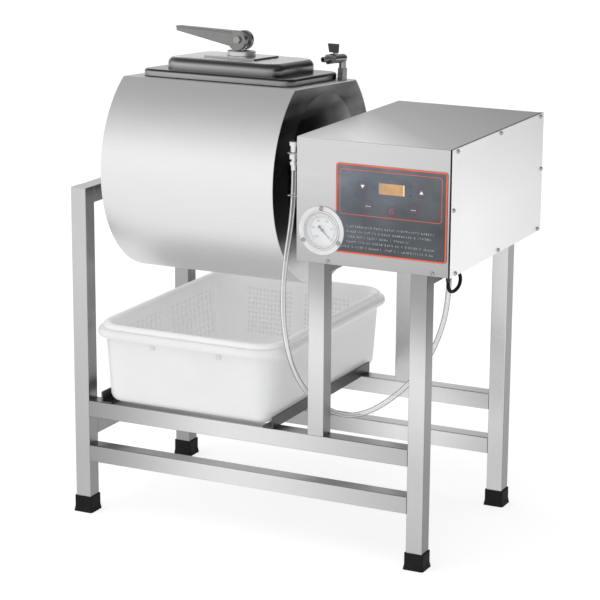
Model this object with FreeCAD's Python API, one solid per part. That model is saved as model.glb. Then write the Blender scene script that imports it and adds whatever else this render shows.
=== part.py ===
"""Vacuum meat tumbler: a drum with a clamped hatch, its frame, drive housing and catch tub.

Millimetres, +Z up. X runs along the drum's axle from the frame's left end to the
drive housing, and the control side faces -Y. While it is modelled the frame is centred
on X and Y and stands on Z = 0. At the end everything is moved so that the origin lies
under the middle of the whole machine, without its cords, on the floor.
"""
import FreeCAD, Part
import math
import os

V = FreeCAD.Vector
X, Y, Z = V(1, 0, 0), V(0, 1, 0), V(0, 0, 1)

# ---------------------------------------------------------------- driving dimensions
# Frame, made of square tube
tube = 30.0
tube_wall = 1.5
tube_corner = 2.0
frame_depth = 396.0
lower_rail_top = 127.0
upper_rail_top = 210.0
side_rail_top = 171.5
foot_height = 29.0
foot_wall = 2.1
foot_floor = 4.0
foot_flare = 1.8

# Along the axle, from left to right
left_gap = 30.0           # left legs to drum
drum_length = 331.9
drive_gap = 46.8          # drum to housing
housing_overhang = 21.8   # housing beyond the inner uprights
drive_bay = 214.5         # inner uprights' left face to right legs' outer face
cover_overhang = 41.3     # side cover beyond the right legs

# Heights
axle_height = 621.0
bearing_height = 28.0     # cross rail to axle
block_width = 20.0
block_length = 100.0
block_base = 9.0
insert_radius = 20.0
drive_height = 101.0      # base plate's underside to axle

# Drum
drum_radius = 195.4
drum_wall = 1.5
drum_flat = 152.3         # axle to hatch flat
hatch_tilt = -3.44        # degrees about +X, the drum's resting angle
end_wall = 2.0
dome_radius = 138.0
dome_rise = 7.0
stub_radius = 10.0
shaft_radius = 12.5
hub_radius = 30.0
hub_length = 10.0
running_clearance = 0.05

# Hatch and lid
opening_length = 210.0
opening_width = 150.0
opening_corner = 30.0
hatch_frame_width = 20.0
hatch_frame_thick = 3.0
lid_length = 292.0
lid_width = 205.0
lid_corner = 24.0
lid_sheet = 2.0
lid_rim_gap = 1.5         # rim's lower edge above the flat
lid_rim_height = 12.2
crown_length = 223.0
crown_width = 170.0
crown_corner = 30.0
crown_height = 22.0
seal_width = 8.0
seal_inset = 5.0
seal_gap = 0.3

# Lid clamp
plate_length = 100.0
plate_width = 95.0
plate_thick = 3.0
boss_radius = 25.0
boss_height = 9.0
rod_radius = 6.0
eye_width = 14.0
ear_gap = 0.5
ear_thick = 9.5
cam_radius = 17.0
cam_offset = 2.0
cam_clearance = 0.4
slip_gap = 0.3             # between faces that slide past each other
lever_length = 126.0
lever_root_rise = 13.0
lever_tip_rise = 16.5
lever_tip_width = 19.0
lever_tip_depth = 8.0
lever_wall = 3.0
pin_radius = 4.0
bar_length = 180.0
bar_width = 24.0
bar_thick = 8.0
bar_gap = 0.5

# Valve on the hatch flat
valve_inset = 10.4        # from the drum's right end
valve_side = 86.0         # behind the drum's middle plane
valve_hex = 16.0
valve_hex_height = 22.0
valve_rise = 39.0         # flat to the valve's level bore
valve_reach = 55.0
valve_angle = 14.0        # from square across the drum, towards the left end
valve_body_radius = 8.0
tail_radius = 5.0
tail_length = 15.0
valve_nut = 10.0
valve_stem_at = 21.0      # from the upright column to the handle's stem
valve_bore = 3.0
stem_r = 3.0
handle_length = 21.0
handle_thick = 8.0
handle_height = 15.0

# Drive, inside the housing
bracket_thick = 6.0
bracket_width = 124.0
bracket_foot = 55.0
flange_bearing_width = 92.0
gear_length = 62.0
gear_width = 90.0
motor_length = 112.0
motor_radius = 43.0
shaft_in_gear = 42.0
pump_radius = 40.0
pump_length = 96.0
pump_head_length = 52.0
pump_head_width = 76.0
pump_from_rear = 42.0
pump_from_left = 60.0
pipe_radius = 3.0

# Drive housing
base_thick = 3.0
pad_thick = 10.0
pad_radius = 12.0
box_rail_height = 20.0
skirt_drop = 9.5
housing_height = 209.5
housing_front = 2.3       # housing's front face beyond the frame's
housing_rear = 14.9       # housing's rear face beyond the frame's
sheet = 1.2
bend_radius = 1.8
gasket_thick = 3.0
seam = 12.0                # width of the edge that the side cover screws to
cover_thick = 1.5
screw_radius = 2.0
head_radius = 3.6
head_height = 2.4

# Control panel, from the housing's left edge and skirt
panel_left = 72.8
panel_low = 23.0
panel_length = 197.0
panel_height = 149.5
panel_corner = 5.0
panel_thick = 1.6
button_size = 15.0
button_gap = 0.2
button_thick = 1.0
button_travel = 0.5
stem_radius = 2.0
window_length = 45.6
window_height = 18.3
light_radius = 2.0

# Vacuum gauge
gauge_left = 46.6
gauge_low = 55.8
dial_depth = 4.0
flange_radius = 41.6
flange_thick = 2.0
gauge_can_radius = 30.5
gauge_can_depth = 26.0
ring_radius = 33.0
ring_height = 1.6
gauge_screw_circle = 37.2

# Catch tub, drain basket and their runners
runner_leg = 20.0
runner_thick = 3.0
runner_clearance = 4.0
tub_base_width = 326.0
tub_rim_width = 370.0
tub_base_length = 446.0
tub_height = 135.0
tub_back = 27.0           # tub's middle behind the frame's middle
tub_wall = 2.5
tub_corner = 35.0
lip_height = 16.0
lip_width = 13.0
basket_clearance = 3.0
basket_wall = 2.0
basket_floor_gap = 12.0
basket_lip = 12.0
basket_lip_thick = 7.0
basket_slot_width = 7.0
basket_slot_height = 62.0
basket_slot_pitch = 21.0
floor_slot_length = 44.0
floor_slot_width = 8.0
floor_slot_pitch = 24.0
floor_row_pitch = 62.0

# Hose and mains lead
hose_radius = 4.5
lead_radius = 3.0
boot_length = 14.0
plug_radius = 13.5
plug_length = 42.0
clip_width = 12.0
clip_thick = 1.2

# ------------------------------------------------------------------- places worked out
frame_length = (tube + left_gap + drum_length + drive_gap + housing_overhang + drive_bay)
left_x = -frame_length / 2
right_x = frame_length / 2
front_y = -frame_depth / 2
rear_y = frame_depth / 2
drum_x0 = left_x + tube + left_gap
drum_x1 = drum_x0 + drum_length
drum_mid = (drum_x0 + drum_x1) / 2
inner_x = right_x - drive_bay
cross_rail_top = axle_height - bearing_height

rim_low = drum_flat + lid_rim_gap
rim_top = rim_low + lid_rim_height
crown_top = rim_top + crown_height
plate_level = crown_top + plate_thick
boss_top = plate_level + boss_height
pivot_level = boss_top + cam_clearance + cam_radius + cam_offset
valve_level = drum_flat + valve_rise

base_z = axle_height - drive_height
plate_top = base_z + base_thick
box_rail_top = base_z - pad_thick
box_rail_low = box_rail_top - box_rail_height

housing_x0 = inner_x - housing_overhang
cover_x1 = right_x + cover_overhang
cover_x0 = cover_x1 - cover_thick
gasket_x0 = cover_x0 - gasket_thick
housing_y0 = front_y - housing_front
housing_y1 = rear_y + housing_rear
housing_z0 = base_z - skirt_drop
housing_z1 = housing_z0 + housing_height

panel_x0 = housing_x0 + panel_left
panel_x1 = panel_x0 + panel_length
panel_z0 = housing_z0 + panel_low
panel_z1 = panel_z0 + panel_height
gauge_x = housing_x0 + gauge_left
gauge_z = housing_z0 + gauge_low
dial_y = housing_y0 + dial_depth

tub_taper = (tub_rim_width - tub_base_width) / 2
tub_rim_length = tub_base_length + 2 * tub_taper
tub_z0 = upper_rail_top + runner_thick + 0.3


# ------------------------------------------------------------------------------ helpers
def box(x0, x1, y0, y1, z0, z1):
    return Part.makeBox(x1 - x0, y1 - y0, z1 - z0, V(x0, y0, z0))


def rod(start, direction, radius, length):
    return Part.makeCylinder(radius, length, start, direction)


def join(shapes):
    """One solid from shapes that touch or overlap."""
    whole = shapes[0].fuse(shapes[1:]) if len(shapes) > 1 else shapes[0]
    return whole.removeSplitter()


def group(shapes):
    """Separate solids kept in one node."""
    return Part.makeCompound(shapes)


def rounded(length, width, corner, level=0.0, centre=(0.0, 0.0)):
    """A closed wire: a rectangle with round corners, level with the XY plane."""
    hx, hy, r = length / 2, width / 2, corner
    k = r * (1 - math.sqrt(0.5))
    cx, cy = centre

    def p(x, y):
        return V(cx + x, cy + y, level)

    edges = []
    for sx, sy, turned in ((1, 1, False), (-1, 1, True), (-1, -1, False), (1, -1, True)):
        side = p(sx * hx, sy * (hy - r))
        bend = p(sx * (hx - k), sy * (hy - k))
        top = p(sx * (hx - r), sy * hy)
        arc = (top, bend, side) if turned else (side, bend, top)
        edges.append(Part.Arc(*arc).toShape())
    for a, b in ((0, 1), (1, 2), (2, 3), (3, 0)):
        edges.append(Part.LineSegment(edges[a].Vertexes[-1].Point, edges[b].Vertexes[0].Point).toShape())
    return Part.Wire(Part.sortEdges(edges)[0])


def slab(length, width, corner, low, high, centre=(0.0, 0.0)):
    """A plate with round corners between two levels."""
    return Part.Face(rounded(length, width, corner, low, centre)).extrude(V(0, 0, high - low))


def edges_at(shape, level):
    return [e for e in shape.Edges if all(abs(v.Point.z - level) < 1e-6 for v in e.Vertexes)]


def upright_slab(x0, x1, z0, z1, corner, y0, y1):
    """A round-cornered plate that stands square to Y."""
    plate = slab(x1 - x0, z1 - z0, corner, 0, y1 - y0)
    plate.rotate(V(), X, 90)
    plate.translate(V((x0 + x1) / 2, y1, (z0 + z1) / 2))
    return plate


def outline(points, thickness, normal):
    """A flat plate from its corners, thickened along the normal."""
    return Part.Face(Part.makePolygon(points + points[:1])).extrude(normal * thickness)


def hexagon(start, direction, across_flats, height):
    """A hexagonal bar that starts at a point and runs along a direction."""
    r = across_flats / math.sqrt(3)
    corners = [V(r * math.cos(k * math.pi / 3), r * math.sin(k * math.pi / 3), 0) for k in range(6)]
    bar = outline(corners, height, Z)
    bar.Placement = FreeCAD.Placement(start, FreeCAD.Rotation(Z, direction))
    return bar


def bar(ends, way, corner):
    """A box with its four edges rounded along one direction."""
    block = box(*ends)
    edges = [e for e in block.Edges if abs(e.tangentAt(e.FirstParameter).dot(way)) > 0.9]
    return block.makeFillet(corner, edges)


def square_tube(x0, x1, y0, y1, z0, z1, closed=0.0):
    """A tube hollow along its longest side, open at its ends or closed at the high one."""
    outer = (x0, x1, y0, y1, z0, z1)
    sides = [x1 - x0, y1 - y0, z1 - z0]
    along = sides.index(max(sides))
    way = (X, Y, Z)[along]
    inner = []
    for k in range(3):
        shrink = 0.0 if k == along else tube_wall
        inner += [outer[2 * k] + shrink, outer[2 * k + 1] - shrink]
    inner[2 * along + 1] -= closed
    return bar(outer, way, tube_corner).cut(bar(inner, way, tube_corner - tube_wall))


def pan_screw(head, direction, length):
    """A cross-recess pan-head screw: head is the point under the head, direction points outwards."""
    shank = rod(V(), Z * -1, screw_radius, length)
    cap = rod(V(), Z, head_radius, head_height)
    rim = [e for e in cap.Edges if e.CenterOfMass.z > head_height - 1e-6]
    screw = join([shank, cap.makeFillet(head_height * 0.6, rim)])
    long, wide = head_radius * 0.62, head_radius * 0.13
    for hx, hy in ((long, wide), (wide, long)):
        screw = screw.cut(box(-hx, hx, -hy, hy, head_height * 0.35, head_height + 1))
    screw.Placement = FreeCAD.Placement(head, FreeCAD.Rotation(Z, direction))
    return screw


def radius_at(a, b, c):
    """The tangent arc's radius at b on the route a, b, c."""
    turn = (b - a).getAngle(c - b)
    return 0.45 * min((b - a).Length, (c - b).Length) / math.tan(turn / 2)


def run_tube(points, radius, label):
    """A round cord along straight runs joined by tangent arcs."""
    route = [V(*p) for p in points]
    edges, here, radii = [], route[0], []
    for a, b, c in zip(route, route[1:], route[2:]):
        turn = (b - a).getAngle(c - b)
        r = radius_at(a, b, c)
        radii.append(r)
        back = r * math.tan(turn / 2)
        into, out = (b - a).normalize(), (c - b).normalize()
        start, end = b - into * back, b + out * back
        towards = (out - into).normalize()
        middle = b + towards * (r / math.cos(turn / 2) - r)
        edges.append(Part.LineSegment(here, start).toShape())
        edges.append(Part.Arc(start, middle, end).toShape())
        here = end
    edges.append(Part.LineSegment(here, route[-1]).toShape())
    path = Part.Wire(edges)
    first = (route[1] - route[0]).normalize()
    ring = Part.Wire(Part.makeCircle(radius, route[0], first))
    solid = path.makePipeShell([ring], True, False)
    ideal = math.pi * radius ** 2 * path.Length
    print(f"{label}: length {path.Length:.0f}, volume ratio {solid.Volume / ideal:.4f},",
          "radii", [round(r) for r in radii])
    return solid


def on_drum(shape):
    """Turn a shape drawn about the axle, hatch up, to the drum's resting place."""
    shape.rotate(V(), X, hatch_tilt)
    shape.translate(V(0, 0, axle_height))
    return shape


pieces = {}


# -------------------------------------------------------------------------------- frame
def upright(x_side, y_side, low, high):
    """A leg or upright, closed at its top end."""
    return square_tube(*x_side, *y_side, low, high, tube_wall)


def make_frame():
    ends = ((front_y, front_y + tube), (rear_y - tube, rear_y))
    left, right = (left_x, left_x + tube), (right_x - tube, right_x)
    inner = (inner_x, inner_x + tube)
    between = (front_y + tube, rear_y - tube)

    left_end = [upright(left, side, foot_floor, cross_rail_top) for side in ends]
    for top in (cross_rail_top, side_rail_top):
        left_end.append(square_tube(*left, *between, top - tube, top))
    pieces["left_end_frame"] = group(left_end)

    bay = [upright(right, side, foot_floor, box_rail_top) for side in ends]
    bay += [upright(inner, side, upper_rail_top, box_rail_top) for side in ends]
    bay += [square_tube(*post, *between, box_rail_low, box_rail_top) for post in (inner, right)]
    pieces["drive_bay_frame"] = group(bay)

    for name, side in zip(("front_rails", "rear_rails"), ends):
        pieces[name] = group([
            square_tube(left_x + tube, right_x - tube, *side, top - tube, top)
            for top in (lower_rail_top, upper_rail_top)])

    feet = []
    for x in (left_x + tube / 2, right_x - tube / 2):
        for y in (front_y + tube / 2, rear_y - tube / 2):
            outer = tube + 2 * foot_wall
            cap = slab(outer, outer, 3.0, 0, foot_height)
            sole = Part.makeLoft([rounded(outer + 2 * foot_flare, outer + 2 * foot_flare, 4.0, 0),
                                  rounded(outer, outer, 3.0, foot_height / 3)], True, True)
            cap = join([cap, sole]).cut(
                box(-tube / 2, tube / 2, -tube / 2, tube / 2, foot_floor, foot_height))
            cap.translate(V(x, y, 0))
            feet.append(cap)
    pieces["rubber_feet"] = group(feet)


def make_runners():
    """Two steel angles across the upper rails that carry and guide the tub."""
    reach = tub_base_width / 2 + runner_clearance + runner_thick
    z0 = upper_rail_top
    runners = []
    for side in (-1, 1):
        x_out = drum_mid + side * reach
        x_web = x_out - side * runner_thick
        x_in = x_out - side * runner_leg
        sole = box(min(x_out, x_in), max(x_out, x_in), front_y, rear_y, z0, z0 + runner_thick)
        web = box(min(x_out, x_web), max(x_out, x_web), front_y, rear_y, z0, z0 + runner_leg)
        runners.append(join([sole, web]))
    pieces["tub_runners"] = group(runners)


def make_left_bearing():
    """Pillow block on the top cross rail, with its bolts and turning insert."""
    x_mid = left_x + tube / 2
    width, seat = block_width, insert_radius
    base_half, base_high = block_length / 2, block_base
    bolt_at = base_half - 10.0
    base = box(x_mid - width / 2, x_mid + width / 2, -base_half, base_half,
               cross_rail_top, cross_rail_top + base_high)
    ring = rod(V(x_mid - width / 2, 0, axle_height), X, seat + 6.5, width)
    web = box(x_mid - width / 2, x_mid + width / 2, -seat - 6.5, seat + 6.5,
              cross_rail_top, axle_height)
    block = join([base, web, ring])
    block = block.cut(rod(V(x_mid - width, 0, axle_height), X, seat, 2 * width))
    pieces_in = [rod(V(x_mid, side * bolt_at, cross_rail_top - tube), Z, 4.2, 2 * tube)
                 for side in (-1, 1)]
    for hole in pieces_in:
        block = block.cut(hole)
    pieces["bearing_block"] = block

    bolts = []
    for side in (-1, 1):
        foot = V(x_mid, side * bolt_at, cross_rail_top + base_high)
        grip = base_high + tube_wall
        head = hexagon(foot, Z, 13.0, 5.5)
        shank = rod(foot, Z * -1, 4.0, grip + 8.0)
        nut = hexagon(foot - Z * grip, Z * -1, 13.0, 6.5)
        bolts.append(join([head, shank, nut]))
    pieces["bearing_bolts"] = group(bolts)
    for bolt_hole in pieces_in:
        pieces["left_end_frame"] = group([s.cut(bolt_hole) for s in pieces["left_end_frame"].Solids])

    insert = rod(V(x_mid - width / 2 - 3, 0, axle_height), X, seat - running_clearance, width + 6)
    pieces["bearing_insert"] = insert.cut(
        rod(V(x_mid - width, 0, axle_height), X, stub_radius, 2 * width))


# --------------------------------------------------------------------------------- drum
def drum_section(radius, flat, x):
    """The drum's outline at x: a circle cut off by the hatch flat."""
    half = math.sqrt(radius ** 2 - flat ** 2)
    arc = Part.Arc(V(x, half, flat), V(x, 0, -radius), V(x, -half, flat)).toShape()
    chord = Part.LineSegment(V(x, -half, flat), V(x, half, flat)).toShape()
    return Part.Face(Part.Wire([arc, chord]))


def drum_end(x, outward):
    """A flat end plate with a shallow pressed dome, hollow behind."""
    inner_r, inner_flat = drum_radius - drum_wall, drum_flat - drum_wall
    plate = drum_section(inner_r - 0.02, inner_flat - 0.02, x).extrude(X * (-outward * end_wall))
    sphere_r = (dome_radius ** 2 + dome_rise ** 2) / (2 * dome_rise)
    centre = V(x + outward * (dome_rise - sphere_r), 0, 0)
    slice_box = Part.makeBox(dome_rise + 1, 2 * drum_radius, 2 * drum_radius,
                             V(min(x, x + outward * (dome_rise + 1)), -drum_radius, -drum_radius))
    dome = Part.makeSphere(sphere_r, centre).common(slice_box)
    hollow = Part.makeSphere(sphere_r - end_wall, centre)
    return join([plate, dome]).cut(hollow)


def make_drum():
    half_open = (opening_length, opening_width, opening_corner)
    outer = drum_section(drum_radius, drum_flat, drum_x0).extrude(X * drum_length)
    inner = drum_section(drum_radius - drum_wall, drum_flat - drum_wall, drum_x0 - 1)
    shell = outer.cut(inner.extrude(X * (drum_length + 2)))
    mouth = slab(*half_open, drum_flat - 20, drum_flat + 20, (drum_mid, 0))
    valve_hole = rod(V(drum_x1 - valve_inset, valve_side, drum_flat - 10), Z, valve_bore + 3, 20)
    shell = shell.cut(mouth).cut(valve_hole)
    pieces["drum_shell"] = on_drum(shell)

    under = drum_flat - drum_wall
    ring = slab(opening_length + 2 * hatch_frame_width, opening_width + 2 * hatch_frame_width,
                opening_corner + hatch_frame_width, under - hatch_frame_thick, under, (drum_mid, 0))
    pieces["hatch_frame"] = on_drum(ring.cut(mouth))

    ends = []
    for x, outward, radius in ((drum_x0, -1, stub_radius), (drum_x1, 1, shaft_radius)):
        plate = drum_end(x, outward)
        ends.append(on_drum(plate.cut(rod(V(x - 20, 0, 0), X, radius, 40))))
    pieces["drum_ends"] = group(ends)

    dome_left = drum_x0 - dome_rise
    collar = rod(V(dome_left + end_wall, 0, 0), X, stub_radius + 14, 8.0)
    axle = rod(V(left_x - 1, 0, 0), X, stub_radius, dome_left + end_wall + 8.0 - left_x + 1)
    pieces["stub_axle"] = on_drum(join([collar, axle])).cut(ends[0])

    rib_high, rib_thick, rib_end = 30.0, 2.0, 25.0
    reach = drum_radius - drum_wall
    ribs = []
    for angle in (60, 180, 300):
        blade = box(drum_x0 + rib_end, drum_x1 - rib_end, -rib_thick / 2, rib_thick / 2,
                    reach - rib_high, reach - 0.05)
        fold = box(drum_x0 + rib_end, drum_x1 - rib_end, -rib_thick / 2, 12.0,
                   reach - rib_high, reach - rib_high + rib_thick)
        rib = join([blade, fold])
        rib.rotate(V(), X, angle)
        ribs.append(on_drum(rib))
    pieces["mixing_ribs"] = group(ribs)


def make_lid():
    at = (drum_mid, 0)

    def stage(grow, corner_grow, low, high, size):
        return slab(size[0] + 2 * grow, size[1] + 2 * grow, size[2] + corner_grow, low, high, at)

    flange_size = (lid_length, lid_width, lid_corner)
    crown_size = (crown_length, crown_width, crown_corner)

    outer_flange = stage(0, 0, rim_low, rim_top, flange_size)
    outer_flange = outer_flange.makeFillet(5.5, edges_at(outer_flange, rim_top))
    outer_crown = stage(0, 0, rim_low, crown_top, crown_size)
    outer_crown = outer_crown.makeFillet(13.0, edges_at(outer_crown, crown_top))
    t = lid_sheet
    inner_flange = stage(-t, -t, rim_low - 1, rim_top - t, flange_size)
    inner_flange = inner_flange.makeFillet(5.5 - t, edges_at(inner_flange, rim_top - t))
    inner_crown = stage(-t, -t, rim_low - 1, crown_top - t, crown_size)
    inner_crown = inner_crown.makeFillet(13.0 - t, edges_at(inner_crown, crown_top - t))
    lid = join([outer_flange, outer_crown]).cut(join([inner_flange, inner_crown]))
    bore = rod(V(drum_mid, 0, rim_low), Z, rod_radius + 1.0, crown_top)
    pieces["lid"] = on_drum(lid.cut(bore))

    seal_low, seal_high = drum_flat + seal_gap, rim_top - t
    out = seal_inset + t
    seal = stage(-out, -out, seal_low, seal_high, flange_size).cut(
        stage(-out - seal_width, -out - seal_width + 4, seal_low - 1, seal_high + 1, flange_size))
    pieces["lid_seal"] = on_drum(seal)

    plate = slab(plate_length, plate_width, 3.0, crown_top, crown_top + plate_thick, at)
    pieces["lid_plate"] = on_drum(plate.cut(bore))


def make_clamp():
    """Boss that turns on the lid, rod with its eye and inner bar, and the cam lever."""
    pivot = pivot_level
    boss_low = plate_level + slip_gap
    boss = rod(V(drum_mid, 0, boss_low), Z, boss_radius, boss_top - boss_low)
    rim = [e for e in boss.Edges if abs(e.CenterOfMass.z - boss_top) < 1e-6]
    boss = boss.makeFillet(2.5, rim)
    pieces["clamp_boss"] = on_drum(
        boss.cut(rod(V(drum_mid, 0, plate_level - 1), Z, rod_radius + running_clearance, 30)))

    bar_top = drum_flat - drum_wall - hatch_frame_thick - bar_gap
    bar = slab(bar_length, bar_width, 4.0, bar_top - bar_thick, bar_top, (drum_mid, 0))
    shank = rod(V(drum_mid, 0, bar_top), Z, rod_radius, pivot - bar_top)
    nut = hexagon(V(drum_mid, 0, bar_top - bar_thick), Z * -1, 18.0, 8.0)
    eye = rod(V(drum_mid, -eye_width / 2, pivot), Y, 11.0, eye_width)
    neck = box(drum_mid - 8, drum_mid + 8, -eye_width / 2, eye_width / 2,
               boss_top + 2.5 * cam_offset, pivot)
    pull = join([shank, eye, neck])
    pull = pull.cut(rod(V(drum_mid, -20, pivot), Y, pin_radius + running_clearance, 40))
    pieces["clamp_rod"] = on_drum(pull)
    pieces["clamp_bar"] = on_drum(join([bar, nut]))

    head_half = eye_width / 2 + ear_gap + ear_thick
    reach = head_half + 20
    cam_mid = V(drum_mid - cam_offset, -head_half, pivot - cam_offset)
    head = rod(cam_mid, Y, cam_radius, 2 * head_half)
    tip_x = drum_mid - lever_length
    top_rise, tip_rise = lever_root_rise, lever_tip_rise
    root_x = drum_mid - cam_radius + 4.0
    side = outline([V(drum_mid, -reach, pivot + top_rise), V(tip_x, -reach, pivot + tip_rise),
                    V(tip_x, -reach, pivot + tip_rise - lever_tip_depth),
                    V(root_x, -reach, pivot - 12.5), V(drum_mid, -reach, pivot - 8.0)],
                   2 * reach, Y)
    low, high = pivot - 60, pivot + 60
    tip_half = lever_tip_width / 2
    plan = outline([V(drum_mid, -head_half, low), V(tip_x, -tip_half, low),
                    V(tip_x, tip_half, low), V(drum_mid, head_half, low)], high - low, Z)
    arm = side.common(plan)
    lip_plan = outline([V(drum_mid, -head_half - 1.2, low), V(tip_x - 1.2, -tip_half - 1.2, low),
                        V(tip_x - 1.2, tip_half + 1.2, low), V(drum_mid, head_half + 1.2, low)],
                       high - low, Z)
    lip_side = outline([V(root_x, -reach, pivot + top_rise - 0.5), V(tip_x - 2, -reach, pivot + tip_rise),
                        V(tip_x - 2, -reach, pivot + tip_rise - 2.4),
                        V(root_x, -reach, pivot + top_rise - 2.9)], 2 * reach, Y)
    lever = join([head, arm, lip_side.common(lip_plan)])

    hollow_side = outline([V(root_x, -reach, pivot + top_rise - lever_wall),
                           V(tip_x + lever_wall, -reach, pivot + tip_rise - lever_wall),
                           V(tip_x + lever_wall, -reach, low), V(root_x, -reach, low)],
                          2 * reach, Y)
    hollow_plan = outline([V(root_x, -head_half + lever_wall, low),
                           V(tip_x + lever_wall, -tip_half + lever_wall, low),
                           V(tip_x + lever_wall, tip_half - lever_wall, low),
                           V(root_x, head_half - lever_wall, low)], high - low, Z)
    lever = lever.cut(hollow_side.common(hollow_plan))
    slot = eye_width / 2 + ear_gap
    lever = lever.cut(box(root_x - 0.5, drum_mid + 40, -slot, slot, low, high))
    lever = lever.cut(rod(V(drum_mid, -reach, pivot), Y, pin_radius, 2 * reach))
    pieces["clamp_lever"] = on_drum(lever)

    end_out = head_half + 2.0
    pin = rod(V(drum_mid, -end_out, pivot), Y, pin_radius, 2 * end_out)
    heads = [hexagon(V(drum_mid, -head_half, pivot), Y * -1, 12.0, 4.5),
             hexagon(V(drum_mid, head_half, pivot), Y, 12.0, 4.5)]
    pieces["lever_pin"] = on_drum(join([pin] + heads))


def make_valve():
    x, y = drum_x1 - valve_inset, valve_side
    lean = math.radians(valve_angle)
    along = V(-math.sin(lean), -math.cos(lean), 0)
    column_top = V(x, y, valve_level)
    hex_nut = hexagon(V(x, y, drum_flat), Z, valve_hex, valve_hex_height)
    neck = rod(V(x, y, drum_flat), Z, valve_body_radius - 1.5, valve_rise)
    shank = rod(V(x, y, drum_flat - drum_wall - 6), Z, valve_bore + 3, 10)
    elbow = Part.makeSphere(valve_body_radius, column_top)
    body_length = valve_reach - tail_length - valve_nut
    body = rod(column_top, along, valve_body_radius, body_length)
    nut = hexagon(column_top + along * body_length, along, 17.0, valve_nut)
    tail = rod(column_top + along * (body_length + valve_nut), along, tail_radius, tail_length)
    stem_at = column_top + along * valve_stem_at
    gland = rod(stem_at, Z, 4.5, valve_body_radius + 2.5)
    whole = join([hex_nut, neck, shank, elbow, body, nut, tail, gland])
    whole = whole.cut(rod(column_top, along, valve_bore, valve_reach + 1))
    whole = whole.cut(rod(V(x, y, drum_flat - 20), Z, valve_bore, valve_rise + 20))
    low = valve_body_radius + 2.5 + slip_gap
    stem_foot = stem_at + Z * (valve_bore + 1.5)
    whole = whole.cut(rod(stem_foot - Z * slip_gap, Z, stem_r + running_clearance, 20))
    pieces["valve_body"] = on_drum(whole)

    stem = rod(stem_foot, Z, stem_r, low + 4.0 - valve_bore - 1.5)
    blade = Part.makeLoft([
        rounded(handle_length - 4, handle_thick, 2.0, 0, (-3.0, 0)),
        rounded(handle_length, handle_thick, 2.0, handle_height, (-4.5, 0))], True, True)
    blade.rotate(V(), Z, -valve_angle * 0.5)
    blade.translate(stem_at + Z * low)
    pieces["valve_handle"] = on_drum(join([stem, blade]))


# -------------------------------------------------------------------------------- drive
def make_drive():
    z = axle_height
    hub_out = drum_x1 + dome_rise
    bracket_x0 = inner_x + tube - 1.0
    bracket_half, gear_half = bracket_width / 2, gear_width / 2
    gear_x0 = bracket_x0 + bracket_thick

    shaft_x0 = hub_out - end_wall - 8.0
    hub = rod(V(hub_out - end_wall, 0, z), X, hub_radius, hub_length)
    shaft = rod(V(shaft_x0, 0, z), X, shaft_radius, gear_x0 + shaft_in_gear - shaft_x0)
    pieces["drive_shaft"] = join([hub, shaft]).cut(pieces["drum_ends"].Solids[1])

    plate = box(bracket_x0, gear_x0, -bracket_half, bracket_half, plate_top, z + gear_half + 13.0)
    foot = box(bracket_x0, bracket_x0 + bracket_foot, -bracket_half, bracket_half,
               plate_top, plate_top + bracket_thick)
    bracket = join([plate, foot]).cut(rod(V(bracket_x0 - 5, 0, z), X, shaft_radius + 7, 20))
    pieces["drive_bracket"] = bracket

    bearing = join([
        bar((bracket_x0 - 9.0, bracket_x0, -flange_bearing_width / 2, flange_bearing_width / 2,
             z - shaft_radius * 2, z + shaft_radius * 2), X, 8.0),
        rod(V(bracket_x0 - 18.0, 0, z), X, shaft_radius * 2.1, 18.0)])
    pieces["drive_bearing"] = bearing.cut(
        rod(V(bracket_x0 - 30, 0, z), X, shaft_radius + running_clearance, 60))

    gear = bar((gear_x0, gear_x0 + gear_length, -gear_half, gear_half, z - gear_half, z + gear_half),
               X, 4.0)
    pieces["gearbox"] = gear.cut(
        rod(V(gear_x0 - 1, 0, z), X, shaft_radius + running_clearance, shaft_in_gear + 3))
    motor_x0 = gear_x0 + gear_length
    motor = join([rod(V(motor_x0, 0, z), X, motor_radius, motor_length),
                  rod(V(motor_x0 + motor_length, 0, z), X, motor_radius - 6, 8.0)])
    pieces["drive_motor"] = motor

    pump_y, pump_z = rear_y - pump_from_rear, plate_top + pump_radius + 6.0
    pump_x0 = inner_x + pump_from_left
    head_x0 = pump_x0 + pump_length
    head_x1 = head_x0 + pump_head_length
    head_half = pump_head_width / 2
    pieces["vacuum_pump"] = join([
        rod(V(pump_x0, pump_y, pump_z), X, pump_radius, pump_length),
        box(head_x0, head_x1, pump_y - head_half, pump_y + head_half,
            plate_top + 12.0, pump_z + pump_radius + 8.0),
        box(pump_x0 + 10, head_x1 - 10, pump_y - head_half + 8, pump_y + head_half - 8,
            plate_top, plate_top + 14.0)])
    return V((head_x0 + head_x1) / 2 + 14.0, pump_y - head_half, pump_z - 12.0)


# ------------------------------------------------------------------------------ housing
def screw_places():
    """Middles of the side cover's screws, as (y, z)."""
    edge = 5.5
    low, high = housing_z0 + 4.5, housing_z1 - 5.0
    front, rear = housing_y0 + 20.0, housing_y1 - 15.0
    middle = (front + rear) / 2
    side_z = (low + high) / 2 + 6.0
    return [(front, high), (middle, high), (rear, high), (housing_y0 + edge + 1.3, side_z),
            (housing_y1 - edge, side_z), (rear, low), (middle, low), (front, low)]


def button_places():
    """Middles of the five buttons, as name to (x, z)."""
    x, z = panel_x0, panel_z0
    return {
        "button_down": (x + 47.8, z + 114.1),
        "button_up": (x + 151.8, z + 113.0),
        "button_mode": (x + 58.0, z + 83.5),
        "button_power": (x + 100.0, z + 78.0),
        "button_set": (x + 138.4, z + 84.5),
    }


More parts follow.
